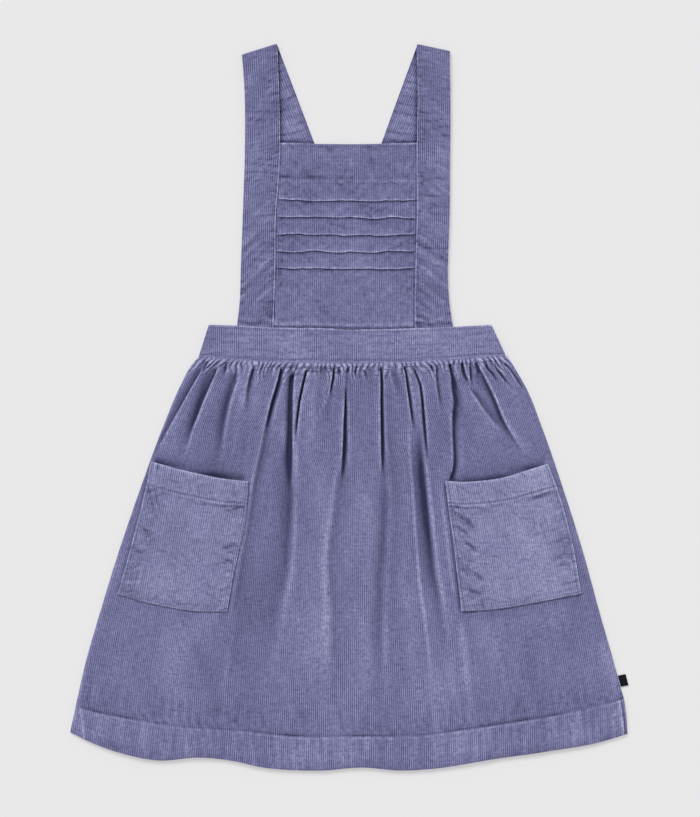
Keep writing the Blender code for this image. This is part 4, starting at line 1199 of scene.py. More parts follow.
@dataclass
class FrontSkirt:
    """The gathered front panel with its turned hem."""

    form: SkirtForm
    inner_columns: int = 170
    mouth_shade: float = 0.68
    upper_tone: float = 0.08
    mouth_reach: float = 2.4
    mouth_spread: float = 0.44
    foot_shade: float = 0.2
    # The painted shadow beside each pocket: at its left side and at its right one
    beside: tuple[tuple[PocketCut, float, float], ...] = ((LEFT_POCKET, 0.3, 0.1), (RIGHT_POCKET, 0.6, 0.05))
    # A pale line below the hem's seam, painted shade in its sunk line and a little above it
    seam_wear_and_shade: Rows = ((0.3, -1.5, 1.0), (-0.65, 0.3, 0.8), (-0.1, 3.0, 2.5))
    hem_waves: Ripples = Ripples(seed=31, height=0.06, across=7.0, down=60.0, waves=11)
    over_hem: Ripples = Ripples(seed=35, height=0.3, across=18.0, down=6.0, waves=9, line=0.8)
    rows: Array = field(default_factory=lambda: rows_between(
        (0.0, 13.5, 0.8), (13.5, 19.0, 1.4), (19.0, 37.0, 3.0), (37.0, 121.0, 5.6), (121.0, 321.0, 10.5),
        (321.0, 326.0, 2.5), (326.0, 331.0, 0.9), (331.0, 353.5, 7.5), (353.5, 356.0, 1.25),
    ))

    def build(self, finish: Material) -> Piece:
        """Makes the panel.

        Args:
            finish: The corduroy.

        Returns:
            The piece.
        """
        form, drops = self.form, self.rows[:, None]
        columns = form.columns(self.rows, form.front_top, FRONT_CREASES)
        x, y = form.place(columns.share, drops)
        points = grid_points(x, y, form.front_top(x, y, columns.share))
        upper = columns.face(points, drops, self._wear_light_and_shade(columns, x, y), Way.UP)
        piece = Wall("skirt_front_corduroy", upper, self._underside()).build(finish)
        dress(piece, Slot.CORDUROY, "skirt_front")
        form.area()
        return piece

    def _wear_light_and_shade(self, columns: Columns, x: Array, y: Array) -> Array:
        """Rubbed paleness by its edges and hem, the painted light and shade of its folds and puckers, painted
        shade along the hem's seam and in the creases above it, and painted shadow by the pockets.
        """
        form = self.form
        relief = form.wear_light_and_shade(self.rows)
        wear_light_and_shade = np.stack([np.interp(share, form.FINE, row) for share, row in zip(columns.share, relief)])
        above = y - HEM_SEAM.y_at(x)
        wear_light_and_shade += 0.3 * near(form.inset(x, y), 1.2) - 0.12 * near(y - HEM_EDGE.y_at(x) - 1.5, 2.0)
        wear_light_and_shade += form.hem_pull(x) * marked(above, self.seam_wear_and_shade) + 0.06 * smoothstep(-above / 2.0)
        wear_light_and_shade += self.hem_waves.at(x, y) * smoothstep(0.5 - above / 3.0)
        # Painted shade in the fine creases above the hem.
        wear_light_and_shade += self.over_hem.creased(x, y) * near(above - 10.0, 11.0) * smoothstep(above / 2.0)
        lower = smoothstep((form.below_seam(columns.share, y) - 8.0) / 8.0)
        wear_light_and_shade -= self.upper_tone * smoothstep((y + 110.0) / 90.0) * lower
        # Painted shadow above each pocket's gaping mouth and along its sides and foot.
        for cut, left, right in self.beside:
            wear_light_and_shade -= self.mouth_shade * self._above_mouth(cut, x, y) + self._beside(cut, x, y, left, right)
        return wear_light_and_shade

    def _beside(self, cut: PocketCut, x: Array, y: Array, left: float, right: float) -> Array:
        """The painted shadow along a pocket's sides, this deep at its left and at its right one, and at its
        foot.
        """
        below_mouth, above_foot = cut.mouth.y_at(x) - y, y - cut.foot.y_at(x)
        in_left, in_right = x - cut.left.x_at(y), cut.right.x_at(y) - x
        height = smoothstep((below_mouth + 2.0) / 6.0) * smoothstep((above_foot + 2.0) / 3.0)
        sides = left * near(in_left + 0.9, 1.2) + right * near(in_right + 0.9, 1.1)
        width = smoothstep(in_left / 3.0) * smoothstep(in_right / 3.0)
        return sides * height + self.foot_shade * width * near(above_foot + 0.8, 1.0)

    def _above_mouth(self, cut: PocketCut, x: Array, y: Array) -> Array:
        """The mask of the painted shadow above a pocket's mouth: 1 just above it, where the pocket gapes, and
        0 away from it.
        """
        left, right = cut.mouth.spots[0][0], cut.mouth.spots[-1][0]
        inside = smoothstep((x - left - 1.0) / 4.0) * smoothstep((right - 1.0 - x) / 4.0)
        above = y - cut.mouth.y_at(x) - 0.5
        wide = self.mouth_spread * near(above, 4.0 * self.mouth_reach)
        return inside * (near(above, self.mouth_reach) + wide)

    def _underside(self) -> Face:
        """The hidden face, a cloth's thickness below the lowest of what lies above it."""
        form = self.form
        u = np.linspace(0.0, 1.0, self.inner_columns + 1)
        fine = form.FINE[None, :]
        top = form.front_top(*form.place(fine, self.rows[:, None]), fine)
        reach = len(form.FINE) // self.inner_columns // 2 + 1
        padded = np.pad(top, ((0, 0), (reach, reach)), mode="edge")
        shifts = range(2 * reach + 1)
        lowest = np.minimum.reduce([padded[:, shift:shift + top.shape[1]] for shift in shifts])
        lowest = np.stack([np.interp(u, form.FINE, row) for row in lowest])
        x, y = form.place(u[None, :], self.rows[:, None])
        rest = form.back_floor(x, y, u[None, :]) + SKIRT_CLOTH + SEAM_GAP
        return plain_face(grid_points(x, y, np.maximum(lowest - SKIRT_CLOTH, rest)))


@dataclass
class BackSkirt:
    """The gathered back panel, which lies on the surface."""

    form: SkirtForm
    inner_columns: int = 150
    rows: Array = field(default_factory=lambda: rows_between(
        (0.0, 15.0, 2.5), (15.0, 40.0, 5.0), (40.0, 120.0, 8.0), (120.0, 320.0, 16.0), (320.0, 326.0, 3.0),
        (326.0, 330.0, 1.3), (330.0, 356.0, 8.7),
    ))

    def build(self, finish: Material) -> Piece:
        """Makes the panel, with its wales underneath.

        Args:
            finish: The corduroy.

        Returns:
            The piece.
        """
        form, drops = self.form, self.rows[:, None]
        columns = form.columns(self.rows, form.back_floor, BACK_CREASES)
        x, y = form.place(columns.share, drops)
        z = form.back_floor(x, y, columns.share)
        z = z + 0.3 * near(y - HEM_SEAM.y_at(x), 0.9) + 0.35 * near(form.inset(x, y), 0.8)
        wear_light_and_shade = 0.5 * near(y - HEM_EDGE.y_at(x), 1.6) - 0.5 * np.clip(z, 0.0, 1.0)
        lower = columns.face(grid_points(x, y, z), drops, wear_light_and_shade, Way.DOWN)
        u = np.linspace(0.0, 1.0, self.inner_columns + 1)[None, :]
        x, y = form.place(u, drops)
        upper = plain_face(grid_points(x, y, form.back_floor(x, y, u) + SKIRT_CLOTH))
        piece = dress(Wall("skirt_back_corduroy", upper, lower).build(finish), Slot.CORDUROY, "skirt_back")
        form.area()
        return piece


@dataclass
class Band:
    """A folded waistband, rounded along its long edges and rippled over the gathers."""

    name: str
    node: str
    floor: float
    way: Way
    inset_left: float = 1.8
    inset_right: float = 2.4
    ripple: float = 0.22
    overhang: float = 0.3
    inner_columns: int = 60
    tone: float = 0.13
    paler_right: float = 0.22
    stitch_from_top: float = 2.0
    stitch_from_foot: float = 2.2
    # Pale long edges, and painted shade in the sunk line by the stitches inside each
    edge_wear: Rows = ((0.4, 0.0, 0.035), (0.3, 1.0, 0.035), (-0.3, 0.07, 0.02), (-0.3, 0.925, 0.02))
    soft: Ripples = Ripples(seed=21, height=0.08, across=26.0, down=9.0)
    lines: Ripples = Ripples(seed=23, height=0.14, across=80.0, down=9.0, waves=8, line=0.8)
    shares: Array = field(default_factory=lambda: np.array(
        (0.0, 0.012, 0.03, 0.05, 0.07, 0.09, 0.14, 0.19, 0.25, 0.31, 0.37, 0.43, 0.5, 0.56, 0.62, 0.68, 0.74,
         0.8, 0.85, 0.89, 0.91, 0.93, 0.95, 0.97, 0.985, 1.0)
    ))

    def place(self, u: Array, share: Array) -> tuple[Array, Array]:
        """Points of the band in plan: u across it, share down it."""
        top_x = BAND_TOP.along(u)
        foot_x = WAIST_SEAM.along(u) + self.inset_left - u * (self.inset_left + self.inset_right)
        top_y, foot_y = BAND_TOP.y_at(top_x), WAIST_SEAM.y_at(foot_x) + SEAM_GAP
        return top_x + share * (foot_x - top_x), top_y + share * (foot_y - top_y)

    def surface(self, u: Array, share: Array) -> Array:
        """Height of the band's shown face above its middle, as if it looked up."""
        x, y = self.place(u, share)
        depth = BAND_TOP.y_at(BAND_TOP.along(u)) - y
        foot = y - WAIST_SEAM.y_at(x) - SEAM_GAP
        over_gathers = self.ripple * wave(19.0 * u + 0.3) * wave(2.3 * u + 0.1) * share
        rounding = 0.45 * near(np.maximum(depth, 0.0), 0.7) + 0.45 * near(np.maximum(foot, 0.0), 0.7)
        seams = 0.2 * near(depth - self.stitch_from_top, 0.6) + 0.25 * near(foot - self.stitch_from_foot, 0.6)
        return over_gathers - rounding - seams + self.soft.at(x, y) + self.lines.creased(x, y)

    def build(self, finish: Material) -> Piece:
        """Makes the band.

        Args:
            finish: The corduroy.

        Returns:
            The piece.
        """
        fine, shares = np.linspace(0.0, 1.0, 801), self.shares[:, None]
        columns = lay_columns(fine, [self.place(fine, share)[0] for share in self.shares])
        x, y = self.place(columns.share, shares)
        shown_z = self.surface(columns.share, shares)
        wear_light_and_shade = self.tone + self.paler_right * (columns.share - 0.45) + marked(shares, self.edge_wear)
        # Painted shade in the band's pressed creases.
        wear_light_and_shade = wear_light_and_shade + 1.6 * self.lines.creased(x, y)
        if self.way is Way.UP:
            z, hidden_z = self.floor + BAND_CLOTH + shown_z, self.floor
            over = self.overhang * (near(shares, 0.01) - near(1.0 - shares, 0.01))
        else:
            z, hidden_z, over = self.floor - np.minimum(shown_z, 0.0), self.floor + BAND_CLOTH, 0.0
        shown = columns.face(grid_points(x, y + over, z), y, wear_light_and_shade, self.way)
        u = np.linspace(0.0, 1.0, self.inner_columns + 1)[None, :]
        hidden = plain_face(grid_points(*self.place(u, shares[::5]), hidden_z))
        upper, lower = (shown, hidden) if self.way is Way.UP else (hidden, shown)
        piece = dress(Wall(self.name, upper, lower).build(finish), Slot.CORDUROY, self.node)
        return piece


class StrapCut(NamedTuple):
    """A strap's two edges on the bib's side, its shoulder fold and its end at the back waistband."""

    outer: Outline
    inner: Outline
    fold_outer: Spot
    fold_inner: Spot
    end_outer: Spot
    end_inner: Spot


LEFT_CUT = StrapCut(
    outer=Outline(((-98.6, 72.2), (-96.6, 89.8), (-95.3, 125.0), (-93.5, 173.4), (-91.8, 227.9),
                   (-92.2, 279.0), (-94.4, 310.2))),
    inner=Outline(((-67.2, 70.4), (-65.6, 123.2), (-65.2, 165.4), (-62.6, 198.9), (-61.0, 233.2),
                   (-61.9, 278.1), (-63.4, 320.5))),
    fold_outer=Spot(-94.2, 307.4), fold_inner=Spot(-63.0, 317.2),
    end_outer=Spot(1.8, 69.6), end_inner=Spot(31.0, 69.0),
)
RIGHT_CUT = StrapCut(
    outer=Outline(((91.0, 71.4), (88.8, 85.4), (88.4, 180.0), (88.9, 270.2), (88.3, 313.3))),
    inner=Outline(((58.3, 70.0), (58.8, 131.1), (60.0, 165.4), (60.2, 201.5), (59.6, 233.2), (60.2, 278.1),
                   (59.0, 320.5))),
    fold_outer=Spot(88.3, 310.6), fold_inner=Spot(59.2, 316.8),
    end_outer=Spot(-1.8, 69.0), end_inner=Spot(-31.0, 69.8),
)


def back_run_edges(cut: StrapCut, y: Array) -> tuple[Array, Array]:
    """The x of both edges of a strap's back run, which goes straight from the fold to the waistband."""
    edges = []
    for start, end in ((cut.fold_outer, cut.end_outer), (cut.fold_inner, cut.end_inner)):
        edges.append(start.x + (y - start.y) / (end.y - start.y) * (end.x - start.x))
    return edges[0], edges[1]


def strap_cover(cut: StrapCut, x: Array, y: Array, margin: float = 7.5, slope: float = 17.0) -> Array:
    """1 over a strap's back run and a little beyond, falling smoothly to 0 outside it."""
    first, second = back_run_edges(cut, y)
    low, high = np.minimum(first, second), np.maximum(first, second)
    outside = np.maximum(np.maximum(low - x, x - high), 0.0)
    return 1.0 - smoothstep((outside - margin) / slope)


BIB_TOP = 232.4


@dataclass
class Bib:
    """The bib between the straps, with its five pintucks and its faced top edge."""

    top: float = BIB_TOP
    top_dip: float = 1.4
    foot: float = 69.0
    span: float = 125.0
    seam_lift: float = 0.3
    seam_reach: float = 30.0
    first_tuck: float = 182.2
    tuck_pitch: float = 15.1
    tucks: int = 5
    tuck_height: float = 1.45
    groove_depth: float = 0.32
    facing: float = 198.2
    allowance: float = 6.2
    edge_drop: float = 0.85
    foot_drop: float = 0.5
    inner_rows: int = 40
    inner_columns: int = 64
    middle: float = -3.7
    # A tuck's section: how far above its crest, the share of its height, and the light and shade painted on
    # it, a highlight on the crest and shade in the shadow below
    section: Rows = (
        (4.2, 0.0, 0.0), (2.4, 0.22, 0.0), (1.2, 0.62, 0.1), (0.5, 0.93, 0.5), (0.0, 1.0, 0.9),
        (-0.3, 0.82, 0.6), (-0.25, 0.4, -0.35), (-0.3, 0.0, -0.7), (-1.2, -0.06, -0.34), (-2.6, -0.02, -0.1),
        (-4.2, 0.0, 0.0),
    )
    # The rows of points above the tucks, and the last two at the foot
    upper_rows: tuple[float, ...] = (BIB_TOP, 231.9, 231.2, 230.0, 228.0, 224.0, 219.5, 215.0, 210.5, 206.0,
                                     202.5, 200.0, 199.0, 198.2, 197.4, 196.2, 193.5, 190.0)
    foot_rows: tuple[float, float] = (72.0, 70.0)
    # Pale lines by the top edge, the facing's seam and the foot, and painted shade a little below the top
    # edge, just below the facing's seam and in the sunk seam at the foot
    top_wear: Rows = ((0.75, 0.0, 1.3), (-0.25, -3.2, 1.0))
    facing_wear: Rows = ((0.14, 0.4, 1.0), (-0.1, -1.4, 0.8))
    foot_wear: Rows = ((0.4, 2.6, 1.1), (-0.7, 0.6, 0.8))
    soft: Ripples = Ripples(seed=5, height=0.2, across=22.0, down=17.0)
    patches: Ripples = Ripples(seed=9, height=1.0, across=40.0, down=34.0)
    mottle: Ripples = Ripples(seed=17, height=0.055, across=9.0, down=8.0, waves=15)
    long: Ripples = Ripples(seed=12, height=0.26, across=22.0, down=15.0, waves=9, line=0.8)
    short: Ripples = Ripples(seed=14, height=0.26, across=12.0, down=8.0, waves=13, line=0.7)

    def floor(self, x: Array, y: Array) -> Array:
        """Underside of the bib, over the back strap runs, their crossing and the back waistband."""
        crossing = strap_cover(LEFT_CUT, x, y) * strap_cover(RIGHT_CUT, x, y)
        on_straps = STRAP_CLOTH + SEAM_GAP + SEAM_EASE + (STRAP_CLOTH + SEAM_GAP) * crossing
        near_band = 1.0 - smoothstep((y - BAND_TOP.y_at(x)) / self.seam_reach)
        return np.maximum(on_straps, (BAND_CLOTH + SEAM_GAP + self.seam_lift) * near_band)

    def levels(self) -> list[tuple[float, float, float, int]]:
        """(y, share of a tuck's height, the light and shade painted on it, tuck number or -1) of each row
        from the top edge down.
        """
        rows = [(y, 0.0, 0.0, -1) for y in self.upper_rows]
        for number in range(self.tucks):
            crest = self.first_tuck - number * self.tuck_pitch
            rows += [(crest + up, share, pale, number) for up, share, pale in self.section]
            gap = (crest + self.section[-1][0], crest - self.tuck_pitch + self.section[0][0])
            if number < self.tucks - 1:
                rows += [(y, 0.0, 0.0, -1) for y in np.linspace(*gap, 4)[1:-1]]
        below = (*np.linspace(rows[-1][0], self.foot_rows[0], 14)[1:], self.foot_rows[1], self.foot)
        return rows + [(y, 0.0, 0.0, -1) for y in below]

    def place(self, u: Array, level: Array, tuck: int) -> tuple[Array, Array]:
        """Points of the bib in plan; a tuck's rows waver a little from side to side."""
        seam_x = LEFT_CUT.inner.spots[0][0] + u * (RIGHT_CUT.inner.spots[0][0] - LEFT_CUT.inner.spots[0][0])
        foot_y = BAND_TOP.y_at(seam_x) + SEAM_GAP
        top_y = self.top - self.top_dip * np.sin(math.pi * u)
        y = foot_y + (level - self.foot) / (self.top - self.foot) * (top_y - foot_y)
        if tuck >= 0:
            for seed, height, across in ((40, 0.4, 27.0), (47, 0.12, 9.0)):
                waver = Ripples(seed=seed + tuck, height=height, across=across, down=400.0, waves=7)
                y = y + waver.at(self.span * u, 0.0)
        left = LEFT_CUT.inner.x_at(y) + SEAM_GAP + SEAM_EASE
        right = RIGHT_CUT.inner.x_at(y) - SEAM_GAP - SEAM_EASE
        return left + u * (right - left), y

    def build(self, finish: Material) -> Piece:
        """Makes the bib.

        Args:
            finish: The corduroy.

        Returns:
            The piece.
        """
        fine = np.linspace(0.0, 1.0, 401)
        levels = self.levels()
        flat_rows = [self.place(fine, level, tuck)[0] - self.middle for level, _, _, tuck in levels]
        columns = lay_columns(fine, flat_rows)
        u = columns.share
        rows = [self.place(u[i], level, tuck) for i, (level, _, _, tuck) in enumerate(levels)]
        x, y = (np.array(axis) for axis in zip(*rows))
        ends = smoothstep(np.minimum(u, 1.0 - u) * 22.0 + 0.2)
        share, pale = (np.array([row[part] for row in levels])[:, None] for part in (1, 2))
        side, above_foot = np.minimum(u, 1.0 - u) * self.span, y - BAND_TOP.y_at(x) - SEAM_GAP
        z = self.floor(x, y) + BIB_CLOTH + self.tuck_height * share * ends + self.wrinkles(x, y)
        z = z - self.edge_drop * near(side, 1.1) - 0.5 * near(y - self.top, 0.7)
        z = z - self.foot_drop * near(above_foot, 1.0) - 0.08 * near(y - self.facing, 0.7)
        # The tucks paint a highlight on each crest and shade in the shadow below it.
        wear_light_and_shade = pale * ends + self._wear_light_and_shade(x, y, side, above_foot)
        upper = columns.face(grid_points(x, y, z), y, wear_light_and_shade, Way.UP, self.groove_depth)
        u = np.linspace(0.0, 1.0, self.inner_columns + 1)[None, :]
        x, y = self.place(u, np.linspace(self.top, self.foot, self.inner_rows)[:, None], -1)
        wall = Wall("bib_corduroy", upper, plain_face(grid_points(x, y, self.floor(x, y))))
        piece = dress(wall.build(finish), Slot.CORDUROY, "bib_front")
        return piece

    def _wear_light_and_shade(self, x: Array, y: Array, side: Array, above_foot: Array) -> Array:
        """The bib's rubbed paleness by its edges and seams, and painted shade along its sunk edges, by its
        seams and in its creases.
        """
        wear_light_and_shade = marked(y - self.top, self.top_wear) + marked(y - self.facing, self.facing_wear) - 0.04
        # Painted shade along the side edges, which sink under the straps' edges.
        wear_light_and_shade = wear_light_and_shade - 0.12 * near(side - 0.6, 0.9) + marked(above_foot, self.foot_wear)
        pressed = near(side - self.allowance - 0.8 * np.sin(y / 7.0), 0.7) * smoothstep((y - 112.0) / 10.0)
        wear_light_and_shade = wear_light_and_shade - 0.2 * pressed * smoothstep((192.0 - y) / 6.0)
        wear_light_and_shade = wear_light_and_shade - 0.09 * near(x + 9.0, 24.0) * near(y - 175.0, 30.0)
        # Painted shade in the pressed creases.
        return wear_light_and_shade + self.creases(x, y) / 0.75 + self.mottle.at(x, y)

    def wrinkles(self, x: Array, y: Array) -> Array:
        """Soft swells and creases of a bib that was folded and washed."""
        return self.soft.at(x, y) + self.creases(x, y)

    def creases(self, x: Array, y: Array) -> Array:
        """The creases pressed into the bib, strongest by its seams and above its facing's seam."""
        patches = smoothstep(0.2 + 0.8 * self.patches.field(x, y))
        by_seam = near(np.minimum(x - LEFT_CUT.inner.x_at(y), RIGHT_CUT.inner.x_at(y) - x), 14.0)
        arc = near(np.hypot(x + 66.0, y - 186.0) - 36.0 + 0.1 * (y - 200.0), 1.1)
        arc = arc * near(y - 208.0, 11.0) * near(x + 46.0, 12.0)
        pressed = near(y - 201.8 - 0.6 * np.sin(x / 6.0) - 0.7 * np.sin(x / 15.0), 0.9)
        pressed = pressed * (0.45 + 0.55 * near(x + 62.0, 26.0) + 0.3 * np.sin(x / 8.5))
        pulls = self.short.creased(x, y) * (0.2 + 0.8 * by_seam)
        return self.long.creased(x, y) * patches + pulls - 0.42 * arc - 0.5 * pressed


class StrapRow(NamedTuple):
    """A row of points across a strap's middle: the way they look, how far along they lie, and their painted
    light and shade.
    """

    points: Array
    normal: tuple[float, float, float]
    along: float
    wear_light_and_shade: Array


@dataclass
class Strap:
    """A strap: up the bib's side, over the shoulder fold and down behind the bib to the back waistband."""

    name: str
    node: str
    cut: StrapCut
    back_floor: Callable[[Array, Array], Array]
    seed: int
    wales: int = 16
    shoulder_lift: float = 3.4
    lift_share: float = 0.7
    band_share: float = 0.13
    ease: float = 0.2
    swell: float = 0.5
    crease_shade: float = 1.6
    fold_steps: int = 10
    edge_reach: float = 1.1
    edge_rounding: float = 0.35
    overhang: float = 0.55
    stitch_inset: float = 1.3
    back_creases: float = 7.6
    back_crease_depth: float = 0.4
    back_tone: float = 0.14
    # A pale and a dark line across the strap's foot, where the waistband's seam presses it
    foot_wear: Rows = ((0.3, 6.2, 1.6), (-0.4, 3.2, 1.3))
    front_shares: Array = field(default_factory=lambda: rows_between(
        (0.0, 0.012, 0.004), (0.012, 1.0, 0.0072)
    ))
    back_shares: Array = field(default_factory=lambda: rows_between((0.0, 0.36, 0.0055), (0.36, 1.0, 0.03)))
    sewn: list[Array] = field(default_factory=list, init=False)

    def __post_init__(self) -> None:
        """Works out the sizes that follow from the cut."""
        cut = self.cut
        self.half = STRAP_CLOTH / 2
        self.width = self.wales * WALE
        self.fold_top = self.shoulder_lift + self.half
        self.radius = (self.fold_top - self.half) / 2
        self.inwards = np.sign(cut.fold_inner.x - cut.fold_outer.x)
        self.front_length = cut.fold_outer.y - cut.outer.spots[0][1]
        self.back_start = self.front_length + math.pi * self.radius
        self.back_length = math.dist(cut.end_outer, cut.fold_outer)

    def runs(self, front: bool, share: float, across: Array) -> tuple[Array, Array]:
        """A row across the front or the back run in plan, this share of the way along it."""
        cut = self.cut
        if front:
            starts = [Spot(x, float(BAND_TOP.y_at(x))) for x, _ in (cut.outer.spots[0], cut.inner.spots[0])]
            ends, shift = (cut.fold_outer, cut.fold_inner), SEAM_GAP * (1.0 - share)
        else:
            starts, ends, shift = (cut.fold_outer, cut.fold_inner), (cut.end_outer, cut.end_inner), 0.0
        outer_y, inner_y = (start.y + share * (end.y - start.y) + shift for start, end in zip(starts, ends))
        if front:
            outer_x, inner_x = cut.outer.x_at(outer_y), cut.inner.x_at(inner_y)
        else:
            outer_x, inner_x = back_run_edges(cut, outer_y)[0], back_run_edges(cut, inner_y)[1]
        return outer_x + across * (inner_x - outer_x), outer_y + across * (inner_y - outer_y)

    def build(self, finish: Material) -> Piece:
        """Makes the strap, with wales on both of its faces.

        Args:
            finish: The corduroy.

        Returns:
            The piece.
        """
        across = np.linspace(0.0, 1.0, self.wales * WALE_COLUMNS + 1)
        rows = [*self._front_rows(across), *self._fold_rows(across), *self._back_rows(across)]
        centre, normal = np.array([row.points for row in rows]), np.array([row.normal for row in rows])
        down = np.array([row.along for row in rows])[:, None] + np.zeros_like(across)
        from_edge = np.minimum(across, 1.0 - across) * self.width
        thin = self.edge_rounding * near(from_edge, self.edge_reach)[None, :, None]
        cloth = grid_points(across * self.width, down, 0.0)[..., :2]
        wear_light_and_shade = self._wear_light_and_shade(across, down, centre[..., 1]) + np.array([row.wear_light_and_shade for row in rows])
        ways = (Way.DOWN, Way.UP) if self.cut is LEFT_CUT else (Way.UP, Way.DOWN)
        whole = (np.zeros(len(down), int), np.full(len(down), len(across) - 1))
        faces = []
        for side, way in zip((1.0, -1.0), ways):
            smooth = centre + side * (self.half - thin) * normal[:, None, :]
            if side > 0.0:
                on_front = down[:, -1] < self.front_length
                smooth[:, -1, 0] += self.overhang * self._over_bib(centre[:, -1, 1], on_front)
            faces.append(Face(sink_grooves(smooth, cloth[..., 0], way), cloth, wear_light_and_shade, *whole))
        piece = dress(Wall(self.name, *faces).build(finish), Slot.CORDUROY, self.node)
        self.sewn = [self._stitch_line(faces[0])]
        return piece

    def _front_rows(self, across: Array) -> list[StrapRow]:
        """The front run, from the waistband up to the shoulder fold."""
        low = STRAP_CLOTH + SEAM_GAP + self.ease + self.half
        at_band = BAND_CLOTH + SEAM_GAP + 0.3 + self.half
        rows = []
        for share in self.front_shares:
            x, y = self.runs(True, share, across)
            near_band = 1.0 - smoothstep(share / self.band_share)
            near_fold = smoothstep((share - self.lift_share) / (1.0 - self.lift_share))
            rise = low + (at_band - low) * near_band + (self.fold_top - low) * near_fold
            creased = self.creases(x, y, across)
            waves = self.soft().at(x, y) + self.swell + creased
            z = rise + waves * smoothstep(share / 0.05) * (1.0 - near_fold) - 0.5 * near(share / 0.006, 1.0)
            # Painted shade in the creases, and the painted light and shade of the pulls.
            worn_and_shaded = self.crease_shade * creased + self.streaks(x, y)
            rows.append(StrapRow(grid_points(x, y, z), (0.0, 0.0, 1.0), share * self.front_length, worn_and_shaded))
        return rows

    def _fold_rows(self, across: Array) -> list[StrapRow]:
        """The turn over the shoulder fold."""
        cut, middle = self.cut, (self.fold_top + self.half) / 2
        fold = np.array([cut.fold_inner.x - cut.fold_outer.x, cut.fold_inner.y - cut.fold_outer.y])
        away = np.array([-fold[1], fold[0]]) / np.linalg.norm(fold) * np.sign(fold[0])
        x, y = cut.fold_outer.x + across * fold[0], cut.fold_outer.y + across * fold[1]
        rows = []
        for step in range(1, self.fold_steps):
            angle = math.pi * step / self.fold_steps
            out, up = away * math.sin(angle), math.cos(angle)
            reach = self.radius * out
            points = grid_points(x + reach[0], y + reach[1], middle + self.radius * up)
            along = self.front_length + self.radius * angle
            rows.append(StrapRow(points, (*out, up), along, np.zeros_like(across)))
        return rows

    def _back_rows(self, across: Array) -> list[StrapRow]:
        """The back run, creased where it shows, with painted shade in its creases, painted shadow beside the
        front run and above the bib, and darker along its edge by the neck.
        """
        rows = []
        for share in self.back_shares:
            x, y = self.runs(False, share, across)
            shown = smoothstep(share / 0.06) * (1.0 - smoothstep((share - 0.26) / 0.05))
            valley = self.back_valleys(share * self.back_length, across)
            z = self.back_floor(x, y) + self.half + self.back_crease_depth * (1.0 - valley) * shown
            from_front = (x - self.cut.inner.x_at(y)) * self.inwards
            shadow = 0.8 * near(np.maximum(from_front, 0.0), 3.1) + 0.7 * near(y - BIB_TOP - 0.9, 1.3)
            edge = 0.3 * near((1.0 - across) * self.width, 2.2)
            worn_and_shaded = self.back_tone - 0.6 * valley - shadow - edge
            along = self.back_start + share * self.back_length
            rows.append(StrapRow(grid_points(x, y, z), (0.0, 0.0, -1.0), along, worn_and_shaded))
        return rows

    def _wear_light_and_shade(self, across: Array, down: Array, y: Array) -> Array:
        """The strap's rubbed paleness by its edges and its foot, and painted shade by its stitches and over
        its fold.
        """
        from_inner = (1.0 - across) * self.width
        on_front = 1.0 - smoothstep((down - self.front_length + 4.0) / 5.0)
        free = smoothstep((y - BIB_TOP) / 4.0)
        # A pale rubbed line along the inner edge, and painted shade in the line of its stitches.
        seam = (0.32 + 0.47 * free) * near(from_inner, 0.7)
        seam = seam - (0.6 - 0.3 * free) * near(from_inner - self.stitch_inset, 0.5)
        seam = seam * (0.72 + 0.28 * np.sin(down / 6.1 + 1.7 * np.sin(down / 17.0)))
        wear_light_and_shade = 0.25 * near(np.minimum(across * self.width, from_inner), 0.6) + seam * on_front
        mottle = Ripples(seed=self.seed + 5, height=0.06, across=22.0, down=26.0)
        wear_light_and_shade = wear_light_and_shade + mottle.at(across * self.width, down)
        # Painted shade over the shoulder fold's top, which faces the light.
        wear_light_and_shade = wear_light_and_shade - 0.4 * near((down - self.front_length - 0.5 * math.pi * self.radius) / 3.2, 1.0)
        foot = down + 0.8 * np.sin(9.0 * across + self.seed)
        return wear_light_and_shade + marked(foot, self.foot_wear) + 0.2 * near(down - 0.6, 0.8)

    def _stitch_line(self, face: Face) -> Array:
        """The line by the inner edge of the front run where the stitches lie, between two columns."""
        column = round((1.0 - self.stitch_inset / self.width) * (face.points.shape[1] - 1))
        last = len(self.front_shares) - 4
        return 0.5 * (face.points[2:last, column - 1] + face.points[2:last, column])

    def _over_bib(self, y: Array, on_front: Array) -> Array:
        """Which way and how much the inner edge's upper lip reaches over the bib's sunk edge."""
        return self.inwards * on_front * (1.0 - smoothstep((y - BIB_TOP + 2.0) / 3.0))

    def soft(self) -> Ripples:
        """The front run's soft swells."""
        return Ripples(seed=self.seed + 50, height=0.15, across=34.0, down=30.0)

    def streaks(self, x: Array, y: Array) -> Array:
        """The painted light and shade of the pulls that slant down the front run's lower half."""
        waves = Ripples(seed=self.seed + 9, height=0.14, across=30.0, down=8.0)
        return waves.at(x, y - 0.9 * x * self.inwards) * (0.3 + 0.7 * smoothstep((165.0 - y) / 40.0))

    def creases(self, x: Array, y: Array, across: Array) -> Array:
        """Short creases across the front run, thickest by its seam."""
        long = Ripples(seed=self.seed, height=0.34, across=40.0, down=11.0, waves=9, line=0.8)
        short = Ripples(seed=self.seed + 1, height=0.3, across=15.0, down=7.0, waves=11, line=0.7)
        blots = Ripples(seed=self.seed + 2, height=1.0, across=30.0, down=36.0)
        patches = smoothstep(0.2 + 0.7 * blots.field(x, y))
        by_seam = (0.2 + 0.8 * near(1.0 - across, 0.3)) * (1.0 - 0.5 * patches)
        return long.creased(x, y) * patches + short.creased(x, y - 0.4 * x * self.inwards) * by_seam

